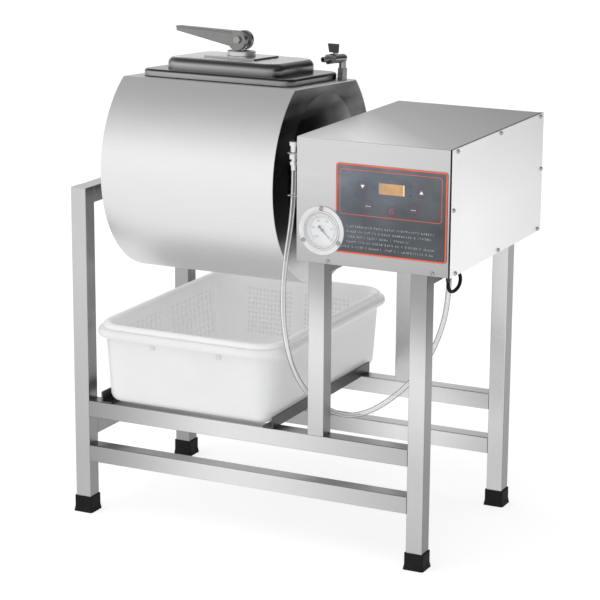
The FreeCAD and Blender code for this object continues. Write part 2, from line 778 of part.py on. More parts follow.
def make_housing():
    y0, y1, z0, z1 = housing_y0, housing_y1, housing_z0, housing_z1
    shell = box(housing_x0, gasket_x0, y0, y1, z0, z1)
    bends = [e for e in shell.Edges
             if e.CenterOfMass.x < gasket_x0 - 1 and e.CenterOfMass.z > z0 + 1]
    shell = shell.makeFillet(bend_radius, bends)
    shell = shell.cut(box(housing_x0 + sheet, gasket_x0 + 1, y0 + sheet, y1 - sheet,
                          z0 - 1, z1 - sheet))
    shell = shell.cut(rod(V(housing_x0 - 5, 0, axle_height), X, shaft_radius + 10, 10))
    shell = shell.cut(rod(V(gauge_x, y0 - 5, gauge_z), Y, gauge_can_radius + 0.5, 10))
    for x, z in button_places().values():
        shell = shell.cut(rod(V(x, y0 - 5, z), Y, stem_radius + 0.5, 10))
    window_x, window_z = panel_x0 + 99.2, panel_z0 + 112.95
    shell = shell.cut(box(window_x - window_length / 2 + 2, window_x + window_length / 2 - 2,
                          y0 - 1, y0 + 5, window_z - window_height / 2 + 2,
                          window_z + window_height / 2 - 2))
    for row in range(6):
        slot_z = z0 + 50.0 + 14.0 * row
        shell = shell.cut(box(housing_x0 + 60, gasket_x0 - 60, y1 - 5, y1 + 5, slot_z, slot_z + 4))

    flange = box(gasket_x0 - sheet, gasket_x0, y0 + 0.5, y1 - 0.5, z0, z1 - bend_radius).cut(
        box(gasket_x0 - sheet - 1, gasket_x0 + 1, y0 + seam, y1 - seam, z0 + seam, z1 - seam))
    shell = join([shell, flange])

    front_screws = [(housing_x0 + 58.4, z0 + 4.5), (gasket_x0 - 28.0, z0 + 4.5)]
    for x, z in front_screws:
        shell = shell.cut(rod(V(x, y0 - 5, z), Y, screw_radius, 12))

    gasket = box(gasket_x0, cover_x0, y0, y1, z0, z1).cut(
        box(gasket_x0 - 1, cover_x0 + 1, y0 + seam, y1 - seam, z0 + seam, z1 - seam))
    cover = box(cover_x0, cover_x1, y0, y1, z0, z1)
    screws = []
    for y, z in screw_places():
        hole = rod(V(gasket_x0 - 8, y, z), X, screw_radius, 30)
        gasket, cover, shell = gasket.cut(hole), cover.cut(hole), shell.cut(hole)
        screws.append(pan_screw(V(cover_x1, y, z), X, cover_thick + gasket_thick + sheet))
    for x, z in front_screws:
        screws.append(pan_screw(V(x, y0, z), Y * -1, 6.0))
    pieces["housing"] = shell
    pieces["cover_gasket"] = gasket
    pieces["side_cover"] = cover
    pieces["housing_screws"] = group(screws)

    base = box(housing_x0 + sheet + 0.2, gasket_x0 - sheet - 0.2, y0 + sheet + 0.2,
               y1 - sheet - 0.2, base_z, plate_top)
    pads = []
    for x in (inner_x + tube / 2, right_x - tube / 2):
        for y in (front_y + tube / 2, rear_y - tube / 2):
            pads.append(rod(V(x, y, box_rail_top), Z, pad_radius, pad_thick))
    pieces["base_pads"] = group(pads)
    return base, (window_x, window_z)


def make_panel(window):
    y1 = housing_y0
    y0 = y1 - panel_thick
    window_x, window_z = window
    panel = upright_slab(panel_x0, panel_x1, panel_z0, panel_z1, panel_corner, y0, y1)
    panel = panel.cut(rod(V(gauge_x, y0 - 5, gauge_z), Y, flange_radius + 0.3, 12))
    half = button_size / 2
    for name, (x, z) in button_places().items():
        well = half + button_gap
        panel = panel.cut(upright_slab(x - well, x + well, z - well, z + well, 2.2, y0 - 1, y1 + 1))
        cap = upright_slab(x - half, x + half, z - half, z + half, 2.0, y0, y0 + button_thick)
        stem = rod(V(x, y0 + button_thick, z), Y, stem_radius, 9.0)
        pieces[name] = join([cap, stem])
    hw, hh = window_length / 2, window_height / 2
    panel = panel.cut(box(window_x - hw, window_x + hw, y0 - 1, y1 + 1,
                          window_z - hh, window_z + hh))
    window_plate = box(window_x - hw, window_x + hw, y0 + 0.3, y1, window_z - hh, window_z + hh)
    lenses = [window_plate]
    for rise in (8.0, -8.0):
        x, z = panel_x0 + 133.0, window_z + rise + 0.7
        hole = rod(V(x, y0 - 1, z), Y, light_radius, panel_thick + 2)
        panel = panel.cut(hole)
        lenses.append(rod(V(x, y0, z), Y, light_radius, panel_thick))
    pieces["control_panel"] = panel
    pieces["display_lenses"] = group(lenses)

    board_y = y0 + button_thick + 9.0 + button_travel + 1.2
    x0, x1 = panel_x0 + 0.18 * panel_length, panel_x1 - 0.15 * panel_length
    z0, z1 = panel_z0 + 0.41 * panel_height, panel_z1 - 0.11 * panel_height
    board = box(x0, x1, board_y, board_y + 1.6, z0, z1)
    parts = [board, box(window_x - hw - 3, window_x + hw + 3, board_y - 6, board_y,
                        window_z - hh - 3, window_z + hh + 3)]
    for x, z in button_places().values():
        parts.append(box(x - 3, x + 3, board_y - 0.9, board_y, z - 3, z + 3))
    parts.append(box(x0 + 24, x0 + 54, board_y + 1.6, board_y + 22, z0 + 4, z0 + 30))
    for x in (x0 + 4.0, x1 - 4.0):
        for z in (z0 + 4.0, z1 - 4.0):
            parts.append(rod(V(x, housing_y0 + sheet, z), Y, 3.0, board_y - housing_y0 - sheet))
    pieces["control_board"] = join(parts)


def make_gauge():
    y = housing_y0
    front = y - flange_thick
    ring_front = front - ring_height

    def disc(y0, y1, radius):
        return rod(V(gauge_x, y0, gauge_z), Y, radius, y1 - y0)

    case = join([disc(front, y, flange_radius), disc(ring_front, y, ring_radius),
                 disc(front, y + gauge_can_depth, gauge_can_radius)])
    case = case.cut(disc(ring_front - 1, y + gauge_can_depth - 2.0, gauge_can_radius - 1.5))
    socket = disc(y + gauge_can_depth, y + gauge_can_depth + 14.0, 6.0)
    case = join([case, socket])
    rim = [e for e in case.Edges if len(e.Vertexes) == 1 and abs(e.CenterOfMass.y - ring_front) < 1e-6]
    case = case.makeFillet(0.6, rim)
    screws = []
    for angle in (90, 210, 330):
        a = math.radians(angle)
        at = V(gauge_x + gauge_screw_circle * math.cos(a), front,
               gauge_z + gauge_screw_circle * math.sin(a))
        hole = rod(at - Y * 5, Y, screw_radius, 20)
        case = case.cut(hole)
        pieces["housing"] = pieces["housing"].cut(hole)
        screws.append(pan_screw(at, Y * -1, 9.0))
    pieces["gauge_case"] = case
    pieces["housing_screws"] = group(pieces["housing_screws"].Solids + screws)

    inner = gauge_can_radius - 1.5
    face_y = dial_y
    dial = disc(face_y, face_y + 1.0, inner - 0.1)
    spindle = disc(face_y - 2.0, face_y + 6.0, 1.2)
    pieces["gauge_dial"] = dial.cut(disc(face_y - 5, face_y + 5, 1.2 + running_clearance))
    turn = math.radians(-45.0)
    tip, tail = 23.0, 9.0
    out = V(math.cos(turn), 0, math.sin(turn))
    across = V(-out.z, 0, out.x)
    hub = V(gauge_x, face_y - 2.6, gauge_z)
    pointer = outline([hub + out * tip, hub + across * 1.1, hub - out * 4 + across * 1.4,
                       hub - out * tail + across * 3.4, hub - out * tail - across * 3.4,
                       hub - out * 4 - across * 1.4, hub - across * 1.1], 0.6, Y)
    pieces["gauge_needle"] = join([pointer, disc(face_y - 3.2, face_y - 1.0, 2.2), spindle])
    pieces["gauge_lens"] = disc(ring_front + 0.8, ring_front + 2.6, inner - 0.05)


# --------------------------------------------------------------------- tub and basket
def tapered(base, rise, grow, corner, level):
    """A solid whose rounded plan grows outwards as it rises."""
    wires = [rounded(base[0], base[1], corner, level, (0, 0)),
             rounded(base[0] + 2 * grow, base[1] + 2 * grow, corner + grow * 0.3, level + rise, (0, 0))]
    return Part.makeLoft(wires, True, True)


def make_tub():
    base = (tub_base_width, tub_base_length)
    lip_x = tub_rim_width
    lip_y = tub_rim_length
    wall_grow = tub_taper - lip_width
    body = tapered(base, tub_height, wall_grow, tub_corner, 0)
    body = body.makeFillet(14.0, edges_at(body, 0))
    hollow = tapered((base[0] - 2 * tub_wall, base[1] - 2 * tub_wall), tub_height - tub_wall,
                     wall_grow, tub_corner - tub_wall, tub_wall)
    hollow = hollow.makeFillet(12.0, edges_at(hollow, tub_wall))
    lip = slab(lip_x, lip_y, tub_corner + lip_width, tub_height - lip_height, tub_height)
    lip = lip.makeFillet(6.0, edges_at(lip, tub_height))
    under = slab(lip_x - 2 * tub_wall, lip_y - 2 * tub_wall, tub_corner + lip_width - tub_wall,
                 tub_height - lip_height - 1, tub_height - tub_wall - 1.0)
    tub = join([lip.cut(under), body]).cut(hollow)
    mouth = tapered((base[0] - 2 * tub_wall, base[1] - 2 * tub_wall), tub_height + 5, wall_grow * 1.04,
                    tub_corner - tub_wall, tub_wall + 20)
    far = tub_rim_length
    tub = tub.cut(mouth.common(box(-far, far, -far, far, tub_height - 30, tub_height + 30)))
    tub.translate(V(drum_mid, tub_back, tub_z0))
    pieces["catch_tub"] = tub

    inset = tub_wall + basket_clearance
    b_base = (base[0] - 2 * inset - 2 * basket_clearance, base[1] - 2 * inset - 2 * basket_clearance)
    z0 = basket_floor_gap
    rise = tub_height - z0
    grow = wall_grow + basket_clearance * 0.5
    outer = tapered(b_base, rise + basket_lip_thick, grow, tub_corner - inset, z0)
    outer = outer.makeFillet(12.0, edges_at(outer, z0))
    inner = tapered((b_base[0] - 2 * basket_wall, b_base[1] - 2 * basket_wall),
                    rise + basket_lip_thick, grow, tub_corner - inset - basket_wall, z0 + basket_wall)
    inner = inner.makeFillet(10.0, edges_at(inner, z0 + basket_wall))
    top_x, top_y = b_base[0] + 2 * grow, b_base[1] + 2 * grow
    rim = slab(top_x + 2 * basket_lip, top_y + 2 * basket_lip, tub_corner + 2,
               tub_height + 0.3, tub_height + 0.3 + basket_lip_thick)
    rim = rim.makeFillet(basket_lip_thick * 0.45, edges_at(rim, rim.BoundBox.ZMax))
    basket = join([outer, rim]).cut(inner)
    basket = basket.common(box(-far, far, -far, far, 0, tub_height + 0.3 + basket_lip_thick))
    half_slot, pitch = basket_slot_width / 2, basket_slot_pitch
    low = z0 + 0.52 * rise - basket_slot_height / 2
    high = low + basket_slot_height
    cuts = []
    count_x = int((b_base[0] / 2 - tub_corner) / pitch)
    for k in range(-count_x, count_x + 1):
        cuts.append(box(k * pitch - half_slot, k * pitch + half_slot, -far, far, low, high))
    count_y = int((b_base[1] / 2 - tub_corner) / pitch)
    for k in range(-count_y, count_y + 1):
        cuts.append(box(-far, far, k * pitch - half_slot, k * pitch + half_slot, low, high))
    basket = basket.cut(cuts)
    floor_slots = []
    half_long, half_wide = floor_slot_length / 2, floor_slot_width / 2
    for row in (-1.5, -0.5, 0.5, 1.5):
        for k in range(-7, 8):
            x, y = row * floor_row_pitch, k * floor_slot_pitch
            floor_slots.append(box(x - half_long, x + half_long, y - half_wide, y + half_wide,
                                   z0 - 2, z0 + basket_wall + 2))
    basket = basket.cut(floor_slots)
    basket.translate(V(drum_mid, tub_back, tub_z0))
    pieces["drain_basket"] = basket


# ---------------------------------------------------------------- hose and mains lead
def from_base(points):
    """Points whose heights are given from the base plate's underside."""
    return [(x, y, base_z + z) for x, y, z in points]


hose_exit = (347.0, -128.0)
hose_top = (housing_x0 - 11.2, housing_y0 + 13.3, housing_z0 + 149.5)
hose_route = from_base([
    (347, -128, -15), (347, -128, -58), (336, -125, -114), (313, -121, -168), (282, -121, -214),
    (246, -124, -250), (205, -129, -279), (165, -135, -290), (128, -144, -277), (101, -154, -252),
    (87, -172, -216), (86, -197, -174), (83, -209, -122), (82, -211, -65), (86, -209, -8),
    (91, -199, 48), (90, -187, 100), (90, -187, 140)])
lead_exit = (367.0, -181.0)
lead_route = from_base([
    (367, -181, -20), (367, -181, -31), (367, -170, -40), (367, -150, -42), (367, -132, -37),
    (366, -124, -24.5), (363, -131, -13), (354, -143, -6), (338, -148, -5), (317, -144, -5),
    (298, -128, -5), (286, -104, -6), (280, -78, -7), (277, -50, -8), (275, -22, -8.5),
    (274.5, 4, -8.5)])
coil_centre = (235.5, 10.0)
coil_radius = 33.0
coil_z = base_z - 8.5
tail_route = from_base([(196.5, 6, -11.5), (196.5, -8, -13), (196.5, -22, -17), (196.5, -36, -17)])
plug_at = tail_route[-1]


def make_hose(base):
    ex, ey = hose_exit
    fitting = join([
        hexagon(V(ex, ey, base_z - 7.0), Z, 13.0, 7.0),
        rod(V(ex, ey, base_z - 15.0), Z, 6.0, 15.0),
        rod(V(ex, ey, base_z - 1), Z, 5.0, base_thick + 8.0),
        hexagon(V(ex, ey, plate_top), Z, 13.0, 6.0)])
    base = base.cut(rod(V(ex, ey, base_z - 5), Z, 5.0, 20))
    pieces["hose_fitting"] = fitting
    pieces["vacuum_hose"] = run_tube(hose_route, hose_radius, "vacuum_hose")

    hx, hy, low = hose_top

    def stage(z0, z1, radius):
        return rod(V(hx, hy, low + z0), Z, radius, z1 - z0)

    coupler = join([
        stage(0, 10, 5.4), hexagon(V(hx, hy, low + 9), Z, 13.0, 6.0), stage(14, 20, 4.6),
        hexagon(V(hx, hy, low + 19), Z, 15.0, 8.0), stage(26, 42, 5.9), stage(41, 48, 7.8)])
    coupler = coupler.cut(stage(48 - tail_length, 49, tail_radius + running_clearance))
    pieces["hose_coupler"] = coupler

    wire, half = 1.0, 8.2
    hooks = []
    for z in (low + 29.0, low - 42.0):
        x_end = hx - half
        run = [V(housing_x0 + 3, hy - half, z), V(x_end + 3, hy - half, z), V(x_end, hy - half + 3, z),
               V(x_end, hy + half - 3, z), V(x_end + 3, hy + half, z), V(housing_x0 + 3, hy + half, z)]
        k = 3 * (1 - math.sqrt(0.5))
        edges = [Part.LineSegment(run[0], run[1]).toShape(),
                 Part.Arc(run[1], V(x_end + k, hy - half + k, z), run[2]).toShape(),
                 Part.LineSegment(run[2], run[3]).toShape(),
                 Part.Arc(run[3], V(x_end + k, hy + half - k, z), run[4]).toShape(),
                 Part.LineSegment(run[4], run[5]).toShape()]
        ring = Part.Wire(Part.makeCircle(wire, run[0], X))
        hooks.append(Part.Wire(edges).makePipeShell([ring], True, False))
        for side in (-1, 1):
            pieces["housing"] = pieces["housing"].cut(
                rod(V(housing_x0 - 2, hy + side * half, z), X, wire, 6))
    pieces["hose_hooks"] = group(hooks)
    return base


def make_lead(base):
    gx, gy = lead_exit
    gland = join([
        rod(V(gx, gy, base_z - 6.0), Z, 5.2, 6.0),
        rod(V(gx, gy, base_z - 1), Z, 4.5, base_thick + 7.0),
        hexagon(V(gx, gy, plate_top), Z, 11.0, 4.0)])
    boot = Part.makeCone(lead_radius + 0.8, 4.8, boot_length, V(gx, gy, base_z - 6.0 - boot_length), Z)
    pieces["lead_gland"] = join([gland, boot])
    base = base.cut(rod(V(gx, gy, base_z - 5), Z, 4.5, 20))

    pieces["mains_lead"] = group([
        run_tube(lead_route, lead_radius, "mains_lead"),
        run_tube(tail_route, lead_radius, "lead tail")])

    cx, cy = coil_centre
    band, deep = 3 * lead_radius, 2 * lead_radius
    ring = rod(V(cx, cy, coil_z - deep), Z, coil_radius + band, 2 * deep)
    hole = rod(V(cx, cy, coil_z - deep - 1), Z, coil_radius - band, 2 * deep + 2)
    pieces["lead_coil"] = ring.cut(hole)

    px, py, pz = plug_at
    body = Part.makeLoft([
        Part.Wire(Part.makeCircle(4.5, V(px, py, pz), Y)),
        Part.Wire(Part.makeCircle(plug_radius - 2.5, V(px, py - plug_length / 3, pz), Y)),
        Part.Wire(Part.makeCircle(plug_radius, V(px, py - plug_length * 0.57, pz), Y)),
        Part.Wire(Part.makeCircle(plug_radius, V(px, py - plug_length, pz), Y))], True, True)
    pins = [rod(V(px + side * 9.5, py - plug_length, pz), Y * -1, 2.4, 19.0) for side in (-1, 1)]
    pieces["mains_plug"] = join([body] + pins)

    def bridge(x0, x1, y_mid, low, wide, thick):
        y0, y1 = y_mid - wide / 2, y_mid + wide / 2
        bottom = box(x0, x1, y0, y1, low - thick, low)
        legs = [box(x0, x0 + thick, y0, y1, low - thick, base_z),
                box(x1 - thick, x1, y0, y1, low - thick, base_z)]
        ears = [box(x0 - 9, x0 + thick, y0, y1, base_z - thick, base_z),
                box(x1 - thick, x1 + 9, y0, y1, base_z - thick, base_z)]
        return join([bottom] + legs + ears)

    reach = coil_radius + band + 3.5
    plug_reach = plug_radius + 2.0
    pieces["lead_clips"] = group([
        bridge(cx - reach, cx + reach, cy + coil_radius / 2, coil_z - deep - 0.5, clip_width, clip_thick),
        bridge(px - plug_reach, px + plug_reach, py - plug_length * 0.8, pz - plug_radius - 0.5,
               clip_width, clip_thick)])
    return base


def make_vacuum_line(start):
    """The pipe inside the housing: pump to hose fitting, with a branch to the gauge."""
    ex, ey = hose_exit
    pipe = pipe_radius
    top = plate_top + 8.0
    main = run_tube([tuple(start), (start.x, start.y - 55, start.z), (ex - 8, ey + 105, start.z + 8),
                     (ex - 3, ey + 62, start.z + 16), (ex, ey + 24, start.z + 18),
                     (ex, ey, start.z - 2), (ex, ey, top)], pipe, "suction pipe")
    tee = V(ex, ey, top + 14)
    gauge_end = housing_y0 + gauge_can_depth + 14.0
    branch = run_tube([tuple(tee), (ex - 45, ey, top + 14), (ex - 100, ey + 8, top + 14),
                       (gauge_x + 45, gauge_end + 50, gauge_z - 8), (gauge_x + 6, gauge_end + 42, gauge_z),
                       (gauge_x, gauge_end + 20, gauge_z), (gauge_x, gauge_end, gauge_z)],
                      pipe, "gauge pipe")
    pieces["vacuum_line"] = join([main, branch])


# ----------------------------------------------------------------------------- assembly
make_frame()
make_runners()
make_left_bearing()
make_drum()
make_lid()
make_clamp()
make_valve()
pump_port = make_drive()
base_plate, window_place = make_housing()
make_panel(window_place)
make_gauge()
make_tub()
base_plate = make_hose(base_plate)
pieces["base_plate"] = make_lead(base_plate)
make_vacuum_line(pump_port)

cord_nodes = ("vacuum_hose", "hose_coupler", "mains_lead", "lead_coil", "mains_plug")
whole = FreeCAD.BoundBox()
for name, shape in pieces.items():
    if name not in cord_nodes:
        whole.add(shape.optimalBoundingBox(False, False))
shift = V(-whole.Center.x, -whole.Center.y, -whole.ZMin)

os.makedirs("parts", exist_ok=True)
for name, shape in pieces.items():
    solids = shape.Solids
    if not solids or not all(s.isValid() for s in solids):
        print("NOT VALID", name)
    node = solids[0] if len(solids) == 1 else Part.makeCompound(solids)
    node = node.copy()
    node.translate(shift)
    node.exportStep(f"parts/{name}.step")
print("nodes", len(pieces), "shift", [round(c, 3) for c in shift], "box", whole)
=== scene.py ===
"""Looks of the vacuum meat tumbler: finishes, hose, lead and moulded parts around its CAD frame.

Metres, +Z up. The drum's axle runs along X and the control side faces -Y.
"""
import math
import random

import bmesh
import bpy
from mathutils import Matrix, Vector


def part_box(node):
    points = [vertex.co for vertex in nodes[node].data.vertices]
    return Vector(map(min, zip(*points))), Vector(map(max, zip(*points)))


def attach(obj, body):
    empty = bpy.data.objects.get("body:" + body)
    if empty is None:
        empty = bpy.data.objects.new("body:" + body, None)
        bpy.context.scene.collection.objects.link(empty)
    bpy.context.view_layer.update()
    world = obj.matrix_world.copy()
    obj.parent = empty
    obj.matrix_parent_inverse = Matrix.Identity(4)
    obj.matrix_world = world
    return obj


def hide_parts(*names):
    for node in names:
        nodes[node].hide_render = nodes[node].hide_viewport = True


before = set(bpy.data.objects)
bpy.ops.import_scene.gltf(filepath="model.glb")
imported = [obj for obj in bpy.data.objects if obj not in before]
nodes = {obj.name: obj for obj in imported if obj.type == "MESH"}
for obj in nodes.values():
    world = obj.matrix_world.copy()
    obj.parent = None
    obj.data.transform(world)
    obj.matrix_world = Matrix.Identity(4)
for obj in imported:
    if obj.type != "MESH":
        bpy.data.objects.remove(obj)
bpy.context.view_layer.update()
MM = 0.001

# -------------------------------------------------------------------- places and small helpers
shift = Vector((-0.0199, -0.027, 0.0))      # where the steel frame's middle stands on the floor


def at(x, y, z):
    """A point given in millimetres from the steel frame's middle on the floor."""
    return Vector((x, y, z)) * MM + shift


def add_object(name, data):
    """A new object of the scene for a mesh, curve, camera or lamp."""
    made = bpy.data.objects.new(name, data)
    bpy.context.scene.collection.objects.link(made)
    return made


def set_stops(node, stops):
    """The greys of a colour ramp, from (position, shade) stops."""
    ramp = node.color_ramp
    while len(ramp.elements) < len(stops):
        ramp.elements.new(0.5)
    for element, (position, shade) in zip(ramp.elements, stops):
        element.position = position
        element.color = (shade, shade, shade, 1)


# ------------------------------------------------------------------------------------- camera
def add_camera():
    data = bpy.data.cameras.new("camera")
    data.lens = 135.52
    data.sensor_width = 36.0
    data.clip_end = 100.0
    camera = add_object("camera", data)
    camera.location = at(1716.3, -3479.6, 1371.0)
    camera.rotation_euler = [math.radians(a) for a in (75.748, -0.346, 26.197)]
    bpy.context.scene.camera = camera


# -------------------------------------------------------------------------------------- cords
def add_cord(name, points, diameter):
    """A smooth round cord on a NURBS spline through control points in metres.

    The thickness is in the points' radius, so that the curve's box is as large as the cord.
    """
    data = bpy.data.curves.new(name, "CURVE")
    data.dimensions = "3D"
    data.bevel_depth = 1.0
    data.bevel_resolution = 6
    data.resolution_u = 12
    spline = data.splines.new("NURBS")
    spline.points.add(len(points) - 1)
    for point, place in zip(spline.points, points):
        point.co = (*place, 1.0)
        point.radius = diameter / 2
    spline.order_u = 3
    spline.use_endpoint_u = True
    return add_object(name, data)


# control points in millimetres from the steel frame's middle
hose_route = [
    (347, -128, 505), (347, -128, 462), (336, -125, 406), (313, -121, 352), (282, -121, 306),
    (246, -124, 270), (205, -129, 241), (165, -135, 230), (128, -144, 243), (101, -154, 268),
    (87, -172, 304), (86, -197, 346), (83, -209, 398), (82, -211, 455), (86, -209, 512),
    (91, -199, 568), (90, -187, 620), (90, -187, 660)]
lead_route = [
    (367, -181, 500), (367, -181, 489), (367, -170, 480), (367, -150, 478), (367, -132, 483),
    (366, -124, 495.5), (363, -131, 507), (354, -143, 514), (338, -148, 515), (317, -144, 515),
    (298, -128, 515), (286, -104, 514), (280, -78, 513), (277, -50, 512), (275, -22, 511.5)]
tail_route = [(196.5, -8, 507), (196.5, -22, 503), (196.5, -36, 503)]
hose_diameter, lead_diameter = 0.009, 0.006


def coil_turns():
    """The stored turns: three beside each other going in, then three below them going out."""
    centre_x, centre_y, outer_radius = 235.5, 10.0, 39.0
    upper_level, lower_level, upper_turns = 514.5, 508.5, 2.8
    first_point, points_per_turn, turns, whole_turns = 2, 16, 6.5, 6.0
    points = []
    for k in range(first_point, int(points_per_turn * turns)):
        turn = k / points_per_turn
        inward = min(turn, whole_turns - min(turn, whole_turns))
        radius = outer_radius - lead_diameter / MM * min(2.0, max(0.0, inward - 0.5))
        level = upper_level if turn < upper_turns else lower_level
        angle = 2 * math.pi * turn
        points.append((centre_x + radius * math.cos(angle), centre_y + radius * math.sin(angle),
                       level))
    return points


add_camera()
hose = add_cord("hose", [at(*p) for p in hose_route], hose_diameter)
lead = add_cord("lead", [at(*p) for p in lead_route + coil_turns() + tail_route], lead_diameter)
for cord, cad in ((hose, ["vacuum_hose"]), (lead, ["mains_lead", "lead_coil"])):
    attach(cord, "root")
    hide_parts(*cad)


# ---------------------------------------------------------------------------------- materials
# stretch of the noise: lines along an axis, or even
ALONG_X, ALONG_Y, ALONG_Z, EVEN = (0.01, 1, 1), (1, 0.01, 1), (1, 1, 0.01), (1, 1, 1)
# directions in which a shade changes over a piece
RIGHT, REAR, UP = (1, 0, 0), (0, 1, 0), (0, 0, 1)


class Maker:
    """Builds one node material, with short helpers for noise, ramps and bump."""

    def __init__(self, name):
        self.material = bpy.data.materials.new(name)
        self.material.use_nodes = True
        self.tree = self.material.node_tree
        self.shader = self.tree.nodes["Principled BSDF"]
        self.place = self.node("ShaderNodeTexCoord").outputs["Object"]

    def node(self, kind, **settings):
        made = self.tree.nodes.new(kind)
        for key, value in settings.items():
            setattr(made, key, value)
        return made

    def link(self, out, into):
        self.tree.links.new(out, into)

    def set(self, **values):
        for key, value in values.items():
            self.shader.inputs[key.replace("_", " ")].default_value = value

    def facing(self, axis):
        """How far the surface is turned along an axis of the piece, either way."""
        split = self.node("ShaderNodeSeparateXYZ")
        self.link(self.node("ShaderNodeTexCoord").outputs["Normal"], split.inputs[0])
        size = self.node("ShaderNodeMath", operation="ABSOLUTE")
        self.link(split.outputs[axis], size.inputs[0])
        return size.outputs[0]

    def along(self, way, start, end):
        """How far the place is along a direction of the piece, 0 at start and 1 at end (metres)."""
        dot = self.node("ShaderNodeVectorMath", operation="DOT_PRODUCT")
        dot.inputs[1].default_value = way
        self.link(self.place, dot.inputs[0])
        return self.spread(dot.outputs["Value"], 0, 1, start, end)

    def blend(self, factor, a, b, kind="MIX"):
        """Two colours put together by a factor; each is a socket or a plain value."""
        mix = self.node("ShaderNodeMix", data_type="RGBA", blend_type=kind)
        for key, value in (("Factor", factor), ("A", a), ("B", b)):
            if isinstance(value, bpy.types.NodeSocket):
                self.link(value, mix.inputs[key])
            else:
                mix.inputs[key].default_value = value
        return mix.outputs["Result"]

    def times(self, colour, factor):
        """A colour multiplied by a grey value."""
        return self.blend(1.0, colour, factor, "MULTIPLY")

    def ramp(self, value, stops):
        """A grey that follows a value through (position, shade) stops."""
        node = self.node("ShaderNodeValToRGB")
        self.link(value, node.inputs["Fac"])
        set_stops(node, stops)
        return node.outputs["Color"]

    def noise(self, scale, stretch=EVEN, detail=2.0, roughness=0.5):
        """Noise whose grain is drawn out along the axes with a small stretch value."""
        mapping = self.node("ShaderNodeMapping")
        mapping.inputs["Scale"].default_value = stretch
        self.link(self.place, mapping.inputs["Vector"])
        noise = self.node("ShaderNodeTexNoise")
        noise.inputs["Scale"].default_value = scale
        noise.inputs["Detail"].default_value = detail
        noise.inputs["Roughness"].default_value = roughness
        self.link(mapping.outputs["Vector"], noise.inputs["Vector"])
        return noise.outputs["Fac"]

    def spread(self, value, low, high, start=0.3, end=0.7):
        """A value from start to end, spread over low to high."""
        ramp = self.node("ShaderNodeMapRange")
        for key, number in (("From Min", start), ("From Max", end), ("To Min", low),
                            ("To Max", high)):
            ramp.inputs[key].default_value = number
        self.link(value, ramp.inputs["Value"])
        return ramp.outputs["Result"]

    def mixed(self, value, low, high, start=0.3, end=0.7):
        """A colour between two, by a value from start to end."""
        return self.blend(self.spread(value, 0, 1, start, end), (*low, 1), (*high, 1))

    def colour(self, value):
        self.link(value, self.shader.inputs["Base Color"])

    def rough(self, value):
        self.link(value, self.shader.inputs["Roughness"])

    def bump(self, *layers, edge=0.0):
        """Bump from (height, distance, strength) layers over softened edges."""
        normal = None
        if edge:
            bevel = self.node("ShaderNodeBevel", samples=4)
            bevel.inputs["Radius"].default_value = edge
            normal = bevel.outputs["Normal"]
        for height, distance, strength in layers:
            bump = self.node("ShaderNodeBump")
            bump.inputs["Distance"].default_value = distance
            bump.inputs["Strength"].default_value = strength
            self.link(height, bump.inputs["Height"])
            if normal is not None:
                self.link(normal, bump.inputs["Normal"])
            normal = bump.outputs["Normal"]
        self.link(normal, self.shader.inputs["Normal"])
        return self.material


def brushed(name, shade, rough, grain, tint=0.03, edge=0.0008, faces=None, painted_grades=(), painted_band=None):
    """Sheet or tube steel with fine lines; grain is small along the brushing direction.

    faces is (axis, low, high, factor): surfaces turned along that axis of the piece, from low
    to high, have their shade multiplied by the factor, a painted shade on those sides.
    grades are (direction, start, end, first, last): painted light and shade, the shade
    multiplied from first to last.
    band is (direction, start, end, stops, back): painted light and shade, the shade multiplied
    through the stops on what stands at the front, fading into one factor, back, on what stands
    at the rear. Stops of 1 leave the front as it is.
    """
    m = Maker(name)
    lines = m.noise(1200, grain, 3.0, 0.6)
    broad = m.noise(5, EVEN, 1.0)
    light = (shade, shade, shade * 1.005)
    cool = (shade - tint, shade - tint, shade - tint * 0.9)
    colour = m.mixed(lines, cool, light)
    # painted light and shade over the steel's lines: darker faces, then shade changing along
    # directions of the piece
    if faces:
        axis, low, high, factor = faces
        colour = m.times(colour, m.spread(m.facing(axis), 1, factor, low, high))
    for way, start, end, first, last in painted_grades:
        colour = m.times(colour, m.spread(m.along(way, start, end), first, last, 0, 1))
    if painted_band:
        way, start, end, stops, back = painted_band
        front = m.ramp(m.along(way, start, end), stops)
        rearward = m.along(REAR, -0.15, 0.0)
        colour = m.times(colour, m.blend(rearward, front, (back, back, back, 1)))
    m.colour(colour)
    m.set(Metallic=1.0)
    m.rough(m.spread(broad, rough * 0.94, rough * 1.06, 0.2, 0.8))
    return m.bump((lines, 0.00001, 0.3), edge=edge)


def folded_sheet(name):
    """The housing's sheet: lightly brushed on its front, and more satin on its wide top. Painted
    shade darkens the front towards its right and bottom, and a painted reflection fades across the
    top from its front left to its rear right.
    """
    m = Maker(name)
    lines = m.noise(1200, ALONG_X, 3.0, 0.6)
    sheet = m.mixed(lines, (0.55, 0.55, 0.555), (0.58, 0.58, 0.585))
    # painted shade on the front, darker towards its right and bottom; painted reflection on the
    # top, fading from front left to rear right
    across = m.along((0.75, 0.66, 0), 0.0, 0.36)
    front = m.times(m.times(sheet, m.spread(across, 1.06, 0.78, 0, 1)),
                    m.spread(m.along(UP, 0.5, 0.66), 0.71, 1.0, 0, 1))
    painted_top_shade = m.ramp(across, ((0.0, 1.0), (0.3, 0.5), (0.5, 0.42), (1.0, 0.28)))
    top = m.times(sheet, m.spread(painted_top_shade, 0, 1.5, 0, 1))
    upward = m.spread(m.facing("Z"), 0, 1, 0.6, 0.9)
    m.colour(m.blend(upward, front, top))
    m.link(m.spread(upward, 1.0, 0.45, 0, 1), m.shader.inputs["Metallic"])
    m.rough(m.spread(upward, 0.3, 0.42, 0, 1))
    return m.bump((lines, 0.00001, 0.3), edge=0.0008)


